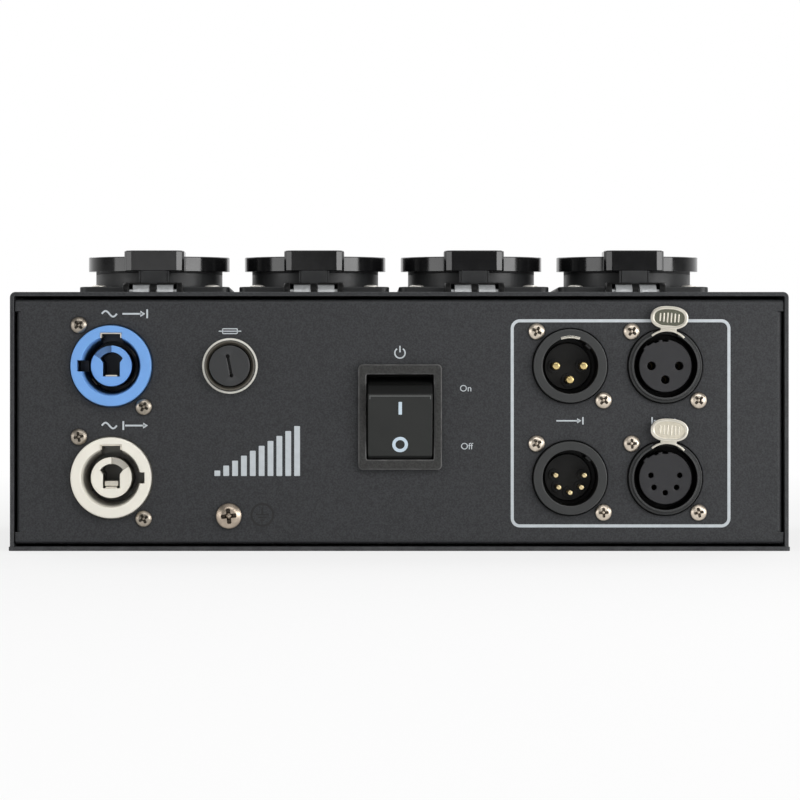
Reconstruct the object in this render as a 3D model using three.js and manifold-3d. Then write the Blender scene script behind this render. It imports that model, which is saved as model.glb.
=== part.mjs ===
// Dimmer pack: a folded steel box with four lidded mains outlets on top, its power and data connectors on
// one long side and its display and buttons on the other.
//
// Millimetres. X runs along the box, to the right as the connector side is seen. Y runs from the connector
// side to the display side. Z is up. The origin is on the ground, under the middle of the whole pack.

import * as THREE from 'three';
import { mergeVertices } from 'three/addons/utils/BufferGeometryUtils.js';
import Module from 'manifold-3d';

const wasm = await Module();
wasm.setup();

// Shared by all pieces
const fit = 0.3;
const overrun = 1;
const weld = 0.00005;
const wideSteps = 22;
const roundSteps = 14;
const smallSteps = 8;
const holeSteps = 6;
const bendSteps = 2;
const hexSides = 6;
const quarter = Math.PI / 2;

// Box
const boxWidth = 228.5;
const boxDepth = 173;
const boxHeight = 76;
const sheet = 1.2;
const coverRadius = 1.6;
const baseSheet = 1.3;
const baseOverhang = 0.3;
const baseLipHeight = 12;
const bossHeight = 8;
const bossRadius = 3;

// Cooling slots in the sides and the base
const ventLength = 26;
const ventWidth = 3;
const ventPitch = 9;
const ventCount = 8;
const sideVentHeight = 40;
const baseVentCount = 9;
const baseVentBack = 6;

// Folded panels
const panelRecess = 0.6;
const panelSideGap = 0.25;
const panelTopGap = 1;
const panelBottomGap = 0.75;
const bendRadius = 1.4;
const lipInset = 0.8;
const lipDepth = 12;
const cornerHeight = 3.5;
const padWidth = 10;
const padDepth = 6;
const padInset = 14;
const padCount = 3;
const highRowDrop = 19.5;
const controlRise = 6.075;

// Outlets on top
const outletPitch = 53.2;
const outletInset = 37.4;
const flangeSide = 50;
const flangeThickness = 6;
const flangeRadius = 3;
const collarRadius = 21.5;
const collarTop = 10.9;
const socketDrop = 22;
const wellRadius = 19.5;
const wellDepth = 17.5;
const plugPinRadius = 2.7;
const plugPinSpacing = 19;
const plugPinDepth = 13;
const lidRadius = 24;
const lidBottom = 11.3;
const lidThickness = 4.6;
const lidCrown = 0.5;
const lidEdgeRound = 0.6;
const lidRecess = 1.6;
const tabWidth = 20.1;
const tabTop = 18;
const tabFront = 27;
const tabLength = 11;
const tabRound = 1.8;
const liftWidth = 14;
const liftReach = 3;
const armWidth = 10;
const armThickness = 2.9;
const hingeAhead = 29.5;
const hingeHeight = 4.2;
const hingePinRadius = 0.9;
const hingeSpringRadius = 1.9;
const hingeSpringLength = 5.1;
const hoodWidth = 20.6;
const hoodWall = 0.8;
const hoodSide = 2.1;
const lugWidth = 2;
const lugWall = 1.5;

// Round twist-lock power connectors
const powerInset = 28.3;
const powerLowRise = 19.45;
const powerRingRadius = 11.95;
const powerRingReach = 2.4;
const powerBoreRadius = 8.6;
const powerCoreRadius = 6;
const powerCoreReach = 0.6;
const powerBoreDepth = 14;
const powerBodyRadius = 11.2;
const powerBodyDepth = 22;
const powerFlangeWidth = 26;
const powerFlangeHeight = 31;
const powerScrewX = 9.5;
const powerScrewZ = 12;
const powerNotchWidth = 6.3;
const powerNotchDepth = 1.4;
const powerKeyWidth = 3.3;
const powerKeyDepth = 2;
const powerHoleWidth = 5.3;
const powerHoleDepth = 11;
const ringChamfer = 0.5;
const connectorFlange = 2;
const connectorRadius = 3;

// Data connectors
const dataInset = 34.8;
const dataPitchX = 27.9;
const dataLowRise = 19.35;
const dataRingRadius = 11.05;
const dataRingReach = 2;
const dataBodyRadius = 10.4;
const dataBodyDepth = 19;
const dataFlangeWidth = 26;
const dataFlangeHeight = 27;
const dataScrewX = 9.8;
const dataScrewZ = 10.1;
const maleBoreRadius = 8.15;
const maleBoreDepth = 12.5;
const maleKeyWidth = 1.6;
const maleKeyHeight = 0.9;
const maleKeyAngle = 0.7;
const carrierThickness = 1.6;
const femaleBoreRadius = 9.55;
const femaleBoreDepth = 12;
const insertRadius = 7.85;
const insertReach = 0.8;
const insertNotch = 1.2;
const insertNotchWidth = 4.4;
const contactHoleDepth = 9;
const pinReach = 11.5;
const pinTip = 0.5;
const threePinCircle = 4.06;
const threePinRadius = 1.2;
const fivePinCircle = 4.3;
const fivePinRadius = 0.75;
const fivePinStep = 0.88;
const contactClearance = 0.12;

// Push latch of a female data connector
const latchWidth = 11.1;
const latchHeight = 6.8;
const latchRise = 14.1;
const latchThickness = 0.8;
const latchNeck = 4;
const latchWingWidth = 9.6;
const latchWingDrop = 1.6;
const latchTongueWidth = 3.4;
const latchTongueLength = 5.5;
const latchTongueThickness = 0.7;
const latchTongueHeight = 8.9;

// Small fixing screws of the connectors
const screwHeadRadius = 2.5;
const screwHeadHeight = 1.6;
const screwRadius = 1.5;
const screwLength = 7;
const crossLength = 2.9;
const crossWidth = 0.7;
const crossDepth = 0.9;

// Earth screw
const earthAside = 34.5;
const earthRise = 8.25;
const earthHeadRadius = 3.8;
const earthHeadHeight = 2.2;
const earthRadius = 2;
const earthLength = 12;
const earthNutRadius = 4;
const earthNutHeight = 3.2;

// Fuse holder
const fuseAside = 34.8;
const fuseBezelRadius = 7.3;
const fuseBezelReach = 2.6;
const fuseBodyRadius = 6.2;
const fuseBodyDepth = 38;
const fuseBoreRadius = 5.1;
const fuseFloor = 1.6;
const fuseNutRadius = 9;
const fuseNutHeight = 3;
const fuseCapRadius = 6.05;
const fuseCapReach = 3.2;
const fuseCapSeat = 0.6;
const fuseStemRadius = 4.7;
const fuseStemDepth = 11;
const fuseSlotLength = 6.2;
const fuseSlotWidth = 0.8;
const fuseSlotDepth = 1;
const fuseSlotAngle = -0.19;
const fuseLinkRadius = 3.15;
const fuseLinkFront = 1.8;
const fuseLinkRoom = 2.6;
const fuseLinkCap = 6;
const fuseGlassStep = 0.25;

// Power switch
const switchX = 0.2;
const switchRise = 1.375;
const bezelWidth = 24.6;
const bezelHeight = 31;
const bezelReach = 2;
const bezelRound = 1.4;
const windowWidth = 19.7;
const windowHeight = 24.9;
const switchBodyWidth = 22;
const switchBodyHeight = 28.2;
const switchBodyDepth = 22;
const switchCavityHeight = 26.6;
const switchCavityDepth = 12.5;
const switchLip = 1.6;
const rockerRadius = 14;
const rockerPivotDepth = 8.6;
const rockerSideGap = 0.4;
const rockerHeel = 2.2;
const rockerPinRadius = 1.2;
const rockerPinReach = 0.55;
const rockerTilt = THREE.MathUtils.degToRad(13);
const rockerFaceAngle = THREE.MathUtils.degToRad(40.9);
const rockerEndAngle = THREE.MathUtils.degToRad(54.9);

// Push-on blades behind the mains parts
const bladeWidth = 6.3;
const bladeThickness = 0.8;
const bladeLength = 8;

// Display and buttons on the far side
const displayX = -40;
const displayWidth = 40;
const displayHeight = 18;
const displayReach = 0.6;
const displayRim = 1.5;
const displayRimThickness = 1;
const buttonFirstX = 4;
const buttonPitch = 19;
const buttonRadius = 4;
const buttonReach = 2.6;
const buttonRound = 0.5;
const buttonCollar = 1.2;
const buttonCollarThickness = 1;
const buttonTravel = 1;
const buttonStemRadius = 1.8;
const boardThickness = 1.6;
const controlBoardDepth = 9;
const controlBoardHeight = 40;
const controlBoardMargin = 9;
const keySwitchSide = 6;
const keySwitchHeight = 4.5;
const standoffRadius = 2.4;
const standoffInset = 4;
const digitBlockHeight = 6;

// Inside
const powerBoardMargin = 16.25;
const powerBoardFrontMargin = 46.5;
const powerBoardBackMargin = 20.5;
const bossInset = 7;
const sinkGap = 27.1;
const sinkSideGap = 6;
const sinkBase = 4;
const sinkFin = 22;
const sinkFinThickness = 1.6;
const sinkFinCount = 12;
const chokeRadius = 14;
const chokeHole = 6;
const chokeHeight = 13;
const chokeRound = 2.5;
const chokeGap = 6;
const terminalWidth = 26;
const terminalDepth = 22;
const terminalHeight = 17;
const supplyWidth = 26;
const supplyDepth = 34;
const supplyHeight = 24;
const supplyEdge = 2;
const dataBoardMargin = 5;

// Shares chosen by eye
const hoodMouthShare = 0.72;
const houseEavesShare = 0.55;
const houseRidgeShare = 1.25;
const latchRoundShare = 0.42;
const wingShoulderShare = 0.7;
const headEdgeShare = 0.35;
const headShoulderShare = 0.72;
const headRiseShare = 0.85;
const terminalMouthShare = 0.6;

const buttonNames = ['mode_button', 'down_button', 'up_button', 'enter_button'];

// Places that follow from these sizes
const coverTop = boxHeight;
const panelWidth = boxWidth - 2 * sheet - 2 * panelSideGap;
const panelBottom = baseSheet + panelBottomGap;
const panelTop = coverTop - sheet - panelTopGap;
const panelMiddle = (panelTop + panelBottom) / 2;
const panelY = -boxDepth / 2 + panelRecess;
const outletCount = Math.floor(boxWidth / outletPitch);
const outletY = boxDepth / 2 - outletInset;
const powerX = -panelWidth / 2 + powerInset;
const inletZ = panelTop - highRowDrop;
const outletZ = panelBottom + powerLowRise;
const dataX = panelWidth / 2 - dataInset - dataPitchX;
const dataHighZ = panelTop - highRowDrop;
const dataLowZ = panelBottom + dataLowRise;
const fuseX = powerX + fuseAside;
const fuseZ = panelTop - highRowDrop;
const fuseLinkLength = fuseBodyDepth - fuseFloor - fuseLinkRoom - fuseLinkFront;
const earthX = powerX + earthAside;
const earthZ = panelBottom + earthRise;
const femaleFloor = dataRingReach - femaleBoreDepth;
const switchZ = panelMiddle + switchRise;
const displayZ = panelMiddle + controlRise;
const buttonZ = displayZ;
const boardTop = baseSheet + bossHeight + boardThickness;
const powerBoardWidth = boxWidth - 2 * powerBoardMargin;
const powerBoardFront = boxDepth / 2 - powerBoardFrontMargin;
const powerBoardBack = boxDepth / 2 - powerBoardBackMargin;
const sinkWidth = powerBoardWidth - 2 * (supplyWidth + sinkSideGap);
const sinkFront = -powerBoardFront + bossInset + bossRadius;
const sinkLength = outletY - chokeRadius - sinkGap - sinkFront;
const sinkY = sinkFront + sinkLength / 2;

// Solids

function solidOf(geometry) {
  geometry.deleteAttribute('normal');
  geometry.deleteAttribute('uv');
  const welded = mergeVertices(geometry, weld);
  const index = welded.index.array;
  const kept = [];
  for (let i = 0; i < index.length; i += 3) {
    const [a, b, c] = [index[i], index[i + 1], index[i + 2]];
    if (a !== b && b !== c && c !== a) {
      kept.push(a, b, c);
    }
  }
  const vertProperties = Float32Array.from(welded.attributes.position.array);
  const triVerts = Uint32Array.from(kept);
  return new wasm.Manifold(new wasm.Mesh({ numProp: 3, vertProperties, triVerts }));
}

function geometryOf(solid) {
  const mesh = solid.asOriginal().simplify(weld).getMesh();
  const geometry = new THREE.BufferGeometry();
  geometry.setAttribute('position', new THREE.BufferAttribute(mesh.vertProperties, mesh.numProp));
  geometry.setIndex(new THREE.BufferAttribute(mesh.triVerts, 1));
  geometry.computeVertexNormals();
  return geometry;
}

// A box between two corners.
function block(low, high) {
  const geometry = new THREE.BoxGeometry(high[0] - low[0], high[1] - low[1], high[2] - low[2]);
  geometry.translate((low[0] + high[0]) / 2, (low[1] + high[1]) / 2, (low[2] + high[2]) / 2);
  return solidOf(geometry);
}

// A shape drawn in XY, raised from one height to another.
function raised(shape, from, to, curveSegments = bendSteps) {
  const options = { depth: to - from, bevelEnabled: false, curveSegments };
  const geometry = new THREE.ExtrudeGeometry(shape, options);
  geometry.translate(0, 0, from);
  return solidOf(geometry);
}

// A profile of [radius, height] pairs, listed upwards on the outside and back down, turned round Z.
function turned(profile, steps = roundSteps) {
  const points = profile.map(([radius, height]) => new THREE.Vector2(radius, height));
  const geometry = new THREE.LatheGeometry(points, steps);
  geometry.rotateX(quarter);
  return solidOf(geometry);
}

function cylinder(radius, from, to, steps = smallSteps) {
  return turned([[0, from], [radius, from], [radius, to], [0, to]], steps);
}

function roundedRect(width, height, radius, x = 0, y = 0) {
  const [w, h] = [width / 2, height / 2];
  const shape = new THREE.Shape();
  shape.moveTo(x - w + radius, y - h);
  shape.lineTo(x + w - radius, y - h);
  shape.absarc(x + w - radius, y - h + radius, radius, -quarter, 0);
  shape.lineTo(x + w, y + h - radius);
  shape.absarc(x + w - radius, y + h - radius, radius, 0, quarter);
  shape.lineTo(x - w + radius, y + h);
  shape.absarc(x - w + radius, y + h - radius, radius, quarter, 2 * quarter);
  shape.lineTo(x - w, y - h + radius);
  shape.absarc(x - w + radius, y - h + radius, radius, 2 * quarter, 3 * quarter);
  return shape;
}

function polygon(points) {
  return new THREE.Shape(points.map(([x, y]) => new THREE.Vector2(x, y)));
}

// A round hole for a shape. Its flats, not its corners, lie at the radius, so that it clears a round piece.
function roundOpening(x, y, radius, steps) {
  const corner = radius / Math.cos(2 * quarter / steps);
  const points = [];
  for (let i = 0; i < steps; i++) {
    const angle = (i + 0.5) / steps * 4 * quarter;
    points.push(new THREE.Vector2(x + corner * Math.cos(angle), y + corner * Math.sin(angle)));
  }
  return new THREE.Path(points);
}

function moved(solid, x, y, z) {
  return solid.translate([x, y, z]);
}

function joined(...solids) {
  return solids.reduce((sum, solid) => sum.add(solid));
}

function degrees(angle) {
  return THREE.MathUtils.radToDeg(angle);
}

// Finishes
function finish(color, roughness, metalness) {
  return new THREE.MeshStandardMaterial({ color, roughness, metalness });
}

const powderCoat = finish(0x46484a, 0.62, 0.25);
const glossBlack = finish(0x1a1b1c, 0.22, 0);
const mouldedBlack = finish(0x2b2d2e, 0.5, 0);
const powerBlue = finish(0x5b8fd0, 0.4, 0);
const powerWhite = finish(0xe0dcd0, 0.4, 0);
const zincShell = finish(0x4b4d4e, 0.45, 0.6);
const nickel = finish(0xbeb0a2, 0.28, 1);
const gold = finish(0xd2a84e, 0.25, 1);
const rockerBlack = finish(0x303030, 0.35, 0);
const glass = finish(0xd8dedc, 0.1, 0);
const boardGreen = finish(0x1f5a38, 0.55, 0);
const aluminium = finish(0xb4b7b9, 0.4, 1);
const copper = finish(0xb06a3a, 0.35, 0.9);
const smoked = finish(0x220808, 0.12, 0);

const pack = new THREE.Group();

// The two panel groups have X to the right as their panel is seen, Y up and Z straight out of the panel,
// with Z at zero on the panel's outer face.
const connectorSide = new THREE.Group();
connectorSide.position.set(0, panelY, 0);
connectorSide.rotation.set(quarter, 0, 0);
const controlSide = new THREE.Group();
controlSide.position.set(0, -panelY, 0);
controlSide.rotation.set(quarter, 2 * quarter, 0);
pack.add(connectorSide, controlSide);

function place(parent, name, solid, material, x = 0, y = 0, z = 0) {
  const mesh = new THREE.Mesh(geometryOf(solid), material);
  mesh.name = name;
  mesh.position.set(x, y, z);
  parent.add(mesh);
}

// Box

function wrapCover() {
  const [w, top, r] = [boxWidth / 2, coverTop, coverRadius];
  const inner = r - sheet;
  const shape = new THREE.Shape();
  shape.moveTo(-w, baseSheet);
  shape.lineTo(-w + sheet, baseSheet);
  shape.lineTo(-w + sheet, top - r);
  shape.absarc(-w + r, top - r, inner, 2 * quarter, quarter, true);
  shape.lineTo(w - r, top - sheet);
  shape.absarc(w - r, top - r, inner, quarter, 0, true);
  shape.lineTo(w - sheet, baseSheet);
  shape.lineTo(w, baseSheet);
  shape.lineTo(w, top - r);
  shape.absarc(w - r, top - r, r, 0, quarter);
  shape.lineTo(-w + r, top);
  shape.absarc(-w + r, top - r, r, quarter, 2 * quarter);
  let cover = raised(shape, -boxDepth / 2, boxDepth / 2).rotate([90, 0, 0]);
  for (let i = 0; i < outletCount; i++) {
    const hole = cylinder(collarRadius + fit, top - sheet - overrun, top + overrun, wideSteps);
    cover = cover.subtract(moved(hole, outletX(i), outletY, 0));
  }
  for (let i = 0; i < ventCount; i++) {
    const y = (i - (ventCount - 1) / 2) * ventPitch;
    const low = [-w - overrun, y - ventWidth / 2, sideVentHeight - ventLength / 2];
    const high = [w + overrun, y + ventWidth / 2, sideVentHeight + ventLength / 2];
    cover = cover.subtract(block(low, high));
  }
  return cover;
}

function basePlate() {
  const [w, d] = [boxWidth / 2 + baseOverhang, boxDepth / 2];
  let plate = block([-w, -d, 0], [w, d, baseSheet]);
  const lipFace = boxWidth / 2 - sheet - fit;
  const lipEnd = d - panelRecess - lipDepth - ventWidth;
  for (const side of [-1, 1]) {
    const [x1, x2] = [side * lipFace, side * (lipFace - sheet)].sort((a, b) => a - b);
    plate = plate.add(block([x1, -lipEnd, baseSheet / 2], [x2, lipEnd, baseSheet + baseLipHeight]));
  }
  for (const [x, y] of bossPlaces()) {
    plate = plate.add(moved(cylinder(bossRadius, baseSheet / 2, baseSheet + bossHeight), x, y, 0));
  }
  for (let i = 0; i < baseVentCount; i++) {
    const x = (i - (baseVentCount - 1) / 2) * ventPitch;
    const y = baseVentBack;
    const low = [x - ventWidth / 2, y - ventLength / 2, -overrun];
    const high = [x + ventWidth / 2, y + ventLength / 2, baseSheet + overrun];
    plate = plate.subtract(block(low, high));
  }
  return plate;
}

function bossPlaces() {
  const x = powerBoardWidth / 2 - bossInset;
  const [front, back] = [-powerBoardFront + bossInset, powerBoardBack - bossInset];
  return [[-x, front], [x, front], [-x, back], [x, back]];
}

// One folded edge of a panel, along X, with its bend starting at Y zero and its lip running back along -Z. It
// reaches a sheet's thickness into the panel's face, so that the two join over a face and not on a line.
function foldedEdge(length) {
  const shape = new THREE.Shape();
  shape.moveTo(0, -sheet);
  shape.lineTo(0, 0);
  shape.absarc(bendRadius, 0, bendRadius, 2 * quarter, quarter, true);
  shape.lineTo(lipDepth, bendRadius);
  shape.lineTo(lipDepth, bendRadius - sheet);
  shape.lineTo(bendRadius, bendRadius - sheet);
  shape.absarc(bendRadius, 0, bendRadius - sheet, quarter, 2 * quarter);
  shape.lineTo(sheet, -sheet);
  return raised(shape, -length / 2, length / 2).rotate([0, 90, 0]);
}

// A panel folded back on all four edges, with its corners left flat and wide.
function foldedPanel(openings) {
  const [w, low, high] = [panelWidth / 2, panelBottom, panelTop];
  const edge = w - lipInset - bendRadius;
  const outline = polygon([
    [-w, low + bendRadius], [w, low + bendRadius], [w, low + cornerHeight], [edge, low + cornerHeight],
    [edge, high - cornerHeight], [w, high - cornerHeight], [w, high - bendRadius], [-w, high - bendRadius],
    [-w, high - cornerHeight], [-edge, high - cornerHeight], [-edge, low + cornerHeight],
    [-w, low + cornerHeight],
  ]);
  outline.holes.push(...openings);
  const sideLength = high - low - 2 * cornerHeight;
  const middle = (high + low) / 2;
  const face = raised(outline, -sheet, 0);
  let panel = joined(
    face,
    moved(foldedEdge(2 * w), 0, high - bendRadius, 0),
    moved(foldedEdge(2 * w).rotate([0, 0, 180]), 0, low + bendRadius, 0),
    moved(foldedEdge(sideLength).rotate([0, 0, -90]), edge, middle, 0),
    moved(foldedEdge(sideLength).rotate([0, 0, 90]), -edge, middle, 0),
  );
  for (let i = 0; i < padCount; i++) {
    const x = (i / (padCount - 1) - 0.5) * (panelWidth - 2 * padInset);
    const low1 = [x - padWidth / 2, baseSheet, -lipDepth];
    panel = panel.add(block(low1, [x + padWidth / 2, low + sheet / 2, -lipDepth + padDepth]));
  }
  return panel;
}

// Outlets on top: drawn round their own centre, with Z at zero on top of the cover.

function outletX(i) {
  return (i - (outletCount - 1) / 2) * outletPitch;
}

function alongX(solid, x = 0) {
  return solid.rotate([0, 90, 0]).translate([x, -hingeAhead, hingeHeight]);
}

function socketBody() {
  const flange = raised(roundedRect(flangeSide, flangeSide, flangeRadius), 0, flangeThickness);
  const floor = collarTop - wellDepth;
  const cup = turned([
    [0, -socketDrop], [collarRadius, -socketDrop], [collarRadius, collarTop], [wellRadius, collarTop],
    [wellRadius, floor], [0, floor],
  ], wideSteps);
  const well = cylinder(wellRadius, floor, collarTop + overrun, wideSteps);
  let body = joined(flange.subtract(well), cup);
  for (const side of [-1, 1]) {
    const pinHole = cylinder(plugPinRadius, floor - plugPinDepth, floor + overrun);
    body = body.subtract(moved(pinHole, side * plugPinSpacing / 2, 0, 0));
  }
  const lugRadius = hingePinRadius + fit + lugWall;
  const lugNeck = block(
    [-lugWidth / 2, -hingeAhead, hingeHeight - lugRadius],
    [lugWidth / 2, -flangeSide / 2 + overrun, hingeHeight + lugWall],
  );
  const lugEye = alongX(cylinder(lugRadius, -lugWidth / 2, lugWidth / 2));
  const eyeHole = alongX(cylinder(hingePinRadius + fit, -lugWidth, lugWidth, holeSteps));
  return joined(body, lugNeck, lugEye).subtract(eyeHole);
}

function socketLid() {
  const top = lidBottom + lidThickness;
  const disc = turned([
    [0, lidBottom + lidRecess], [wellRadius, lidBottom + lidRecess], [wellRadius, lidBottom],
    [lidRadius, lidBottom], [lidRadius, top - lidEdgeRound], [lidRadius - lidEdgeRound, top],
    [0, top + lidCrown],
  ], wideSteps);
  const tab = raised(
    roundedRect(tabWidth, tabLength, tabRound, 0, -tabFront + tabLength / 2), lidBottom, tabTop,
  );
  const lift = raised(roundedRect(liftWidth, 2 * liftReach, tabRound, 0, lidRadius), lidBottom,
    lidBottom + lidThickness / 2);
  const armBack = -flangeSide / 2 - fit;
  const arm = block(
    [-armWidth / 2, armBack - armThickness, hingeHeight],
    [armWidth / 2, armBack, lidBottom + overrun],
  );
  const hollow = hingeSpringRadius + fit;
  const hood = alongX(cylinder(hollow + hoodWall, -hoodWidth / 2, hoodWidth / 2, roundSteps));
  const hoodInside = hoodWidth / 2 - hoodSide;
  const springRoom = alongX(cylinder(hollow, -hoodInside, hoodInside, smallSteps));
  const hoodMouth = block(
    [-hoodInside, -hingeAhead - 2 * hollow, hingeHeight - 2 * hollow],
    [hoodInside, -hingeAhead - hollow / 2, hingeHeight + hollow * hoodMouthShare],
  );
  const lugRoomRadius = hollow + hoodWall + fit;
  const lugRoom = alongX(cylinder(lugRoomRadius, -lugWidth / 2 - fit, lugWidth / 2 + fit, smallSteps));
  const neckRoom = block(
    [-lugWidth / 2 - fit, -hingeAhead, hingeHeight - 2 * hollow],
    [lugWidth / 2 + fit, -flangeSide / 2, hingeHeight + lugWall + 2 * fit],
  );
  const pinHole = alongX(cylinder(hingePinRadius + fit, -hoodWidth, hoodWidth, holeSteps));
  return joined(disc, tab, lift, arm, hood)
    .subtract(springRoom).subtract(hoodMouth).subtract(lugRoom).subtract(neckRoom).subtract(pinHole);
}

function hingePin() {
  const reach = hoodWidth / 2;
  const near = lugWidth / 2 + fit;
  const far = near + hingeSpringLength;
  const halfTurned = [
    [hingePinRadius, near], [hingeSpringRadius, near], [hingeSpringRadius, far], [hingePinRadius, far],
    [hingePinRadius, reach], [0, reach],
  ];
  const otherHalf = halfTurned.map(([radius, x]) => [radius, -x]).reverse();
  return alongX(turned([...otherHalf, ...halfTurned], holeSteps));
}

// Power connectors

function powerConnector(keySide) {
  const back = -sheet - powerBodyDepth;
  const shell = turned([
    [0, back], [powerBodyRadius, back], [powerBodyRadius, -sheet], [powerRingRadius, -sheet],
    [powerRingRadius, powerRingReach - ringChamfer], [powerRingRadius - ringChamfer, powerRingReach],
    [powerBoreRadius, powerRingReach], [powerBoreRadius, -powerBoreDepth], [powerCoreRadius, -powerBoreDepth],
    [powerCoreRadius, powerCoreReach], [0, powerCoreReach],
  ], wideSteps);
  const flange = dFlange(powerFlangeWidth, powerFlangeHeight, powerScrewX, powerScrewZ, powerBodyRadius);
  const notch = block(
    [-powerNotchWidth / 2, powerBoreRadius - overrun, powerRingReach - powerNotchDepth],
    [powerNotchWidth / 2, powerRingRadius + overrun, powerRingReach + overrun],
  );
  const keyOuter = keySide * (powerBoreRadius + powerKeyDepth);
  const keyInner = keySide * (powerBoreRadius - overrun);
  const keySlot = block(
    [Math.min(keyOuter, keyInner), -powerKeyWidth / 2, -powerBoreDepth / 2],
    [Math.max(keyOuter, keyInner), powerKeyWidth / 2, powerRingReach + overrun],
  );
  const w = powerHoleWidth / 2;
  const house = polygon([[-w, -w], [w, -w], [w, w * houseEavesShare], [0, w * houseRidgeShare],
    [-w, w * houseEavesShare]]);
  const coreHole = raised(house, powerCoreReach - powerHoleDepth, powerCoreReach + overrun);
  let connector = joined(shell, flange).subtract(notch).subtract(keySlot).subtract(coreHole);
  for (const angle of [-quarter, 0, quarter]) {
    connector = connector.add(blade(back).translate([0, powerCoreRadius, 0]).rotate([0, 0, degrees(angle)]));
  }
  return connector;
}

// A flat push-on blade that stands out behind a part whose back face is at the given height.
function blade(back) {
  return block(
    [-bladeWidth / 2, -bladeThickness / 2, back - bladeLength],
    [bladeWidth / 2, bladeThickness / 2, back + bladeThickness],
  );
}

// The square flange behind the panel, with a round clear way for the body and two screw holes.
function dFlange(width, height, screwX, screwZ, bodyRadius) {
  const shape = roundedRect(width, height, connectorRadius);
  for (const side of [-1, 1]) {
    shape.holes.push(roundOpening(side * screwX, -side * screwZ, screwRadius + fit, holeSteps));
  }
  shape.holes.push(roundOpening(0, 0, bodyRadius - overrun, holeSteps));
  return raised(shape, -sheet - connectorFlange, -sheet);
}

// Data connectors

function pinPlaces(count) {
  if (count === 3) {
    const r = threePinCircle;
    return [[-r, 0], [0, -r], [r, 0]];
  }
  return [-2, -1, 0, 1, 2].map((i) => {
    const angle = -quarter + i * fivePinStep;
    return [fivePinCircle * Math.cos(angle), fivePinCircle * Math.sin(angle)];
  });
}

function pinRadiusOf(count) {
  return count === 3 ? threePinRadius : fivePinRadius;
}

function dataShell(boreRadius, floor) {
  const back = -sheet - dataBodyDepth;
  const shell = turned([
    [0, back], [dataBodyRadius, back], [dataBodyRadius, -sheet], [dataRingRadius, -sheet],
    [dataRingRadius, dataRingReach - ringChamfer], [dataRingRadius - ringChamfer, dataRingReach],
    [boreRadius, dataRingReach], [boreRadius, floor], [0, floor],
  ], wideSteps);
  const flange = dFlange(dataFlangeWidth, dataFlangeHeight, dataScrewX, dataScrewZ, dataBodyRadius);
  return joined(shell, flange);
}

function maleShell() {
  const floor = dataRingReach - maleBoreDepth;
  const key = block(
    [-maleKeyWidth / 2, maleBoreRadius - maleKeyHeight, floor],
    [maleKeyWidth / 2, maleBoreRadius + ringChamfer, dataRingReach - ringChamfer],
  );
  return joined(dataShell(maleBoreRadius, floor), key.rotate([0, 0, -degrees(maleKeyAngle)]));
}

function maleContacts(count) {
  const floor = dataRingReach - maleBoreDepth;
  const radius = pinRadiusOf(count);
  const tip = floor + pinReach;
  let contacts = cylinder(maleBoreRadius - maleKeyHeight - fit, floor, floor + carrierThickness, roundSteps);
  for (const [x, y] of pinPlaces(count)) {
    const pin = turned([[0, floor], [radius, floor], [radius, tip - pinTip], [0, tip]], holeSteps);
    contacts = contacts.add(moved(pin, x, y, 0));
  }
  return contacts;
}

function femaleShell() {
  const mouth = block(
    [-insertNotchWidth / 2, femaleBoreRadius - overrun, dataRingReach - powerNotchDepth],
    [insertNotchWidth / 2, dataRingRadius + overrun, dataRingReach + overrun],
  );
  return dataShell(femaleBoreRadius, femaleFloor).subtract(mouth);
}

// The black middle of a female connector, with its contact holes and the notch for the latch's tongue.
function femaleInsert(count, bottom) {
  let insert = cylinder(insertRadius, bottom, insertReach, wideSteps);
  for (const [x, y] of pinPlaces(count)) {
    const hole = cylinder(pinRadiusOf(count) + contactClearance, insertReach - contactHoleDepth,
      insertReach + overrun, holeSteps);
    insert = insert.subtract(moved(hole, x, y, 0));
  }
  const notch = block(
    [-insertNotchWidth / 2, insertRadius - insertNotch, bottom + 2 * overrun],
    [insertNotchWidth / 2, insertRadius + insertNotch, insertReach + overrun],
  );
  return insert.subtract(notch);
}

// A pressed plate in front of the ring, with a tongue that runs back into the connector.
function pushLatch() {
  const front = dataRingReach + fit;
  const [neck, wing] = [latchNeck / 2, latchWingWidth / 2];
  const low = dataRingRadius - latchWingDrop;
  const oval = raised(
    roundedRect(latchWidth, latchHeight, latchHeight * latchRoundShare, 0, latchRise), front,
    front + latchThickness,
  );
  const wings = raised(polygon([
    [-wing, low - latchWingDrop], [-wing * wingShoulderShare, low], [-neck, low + latchWingDrop],
    [-neck, latchRise], [neck, latchRise], [neck, low + latchWingDrop], [wing * wingShoulderShare, low],
    [wing, low - latchWingDrop], [neck, low - latchTongueThickness], [neck, latchTongueHeight
    - latchTongueThickness / 2], [-neck, latchTongueHeight - latchTongueThickness / 2],
    [-neck, low - latchTongueThickness],
  ]), front, front + latchThickness);
  const tongue = block(
    [-latchTongueWidth / 2, latchTongueHeight - latchTongueThickness / 2, front - latchTongueLength],
    [latchTongueWidth / 2, latchTongueHeight + latchTongueThickness / 2, front + latchThickness],
  );
  return joined(oval, wings, tongue);
}

// Fasteners

function crossScrew(headRadius, headHeight, radius, length) {
  const scale = headRadius / screwHeadRadius;
  const screw = turned([
    [0, -length], [radius, -length], [radius, 0], [headRadius, 0], [headRadius, headHeight * headEdgeShare],
    [headRadius * headShoulderShare, headHeight * headRiseShare], [0, headHeight],
  ], smallSteps);
  const [half, width, depth] = [crossLength * scale / 2, crossWidth * scale / 2, headHeight - crossDepth];
  const bar = [half, width, headHeight + overrun];
  const cross = joined(
    block([-half, -width, depth], bar),
    block([-width, -half, depth], [width, half, headHeight + overrun]),
  );
  return screw.subtract(cross.rotate([0, 0, 45]));
}

// Fuse

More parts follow.
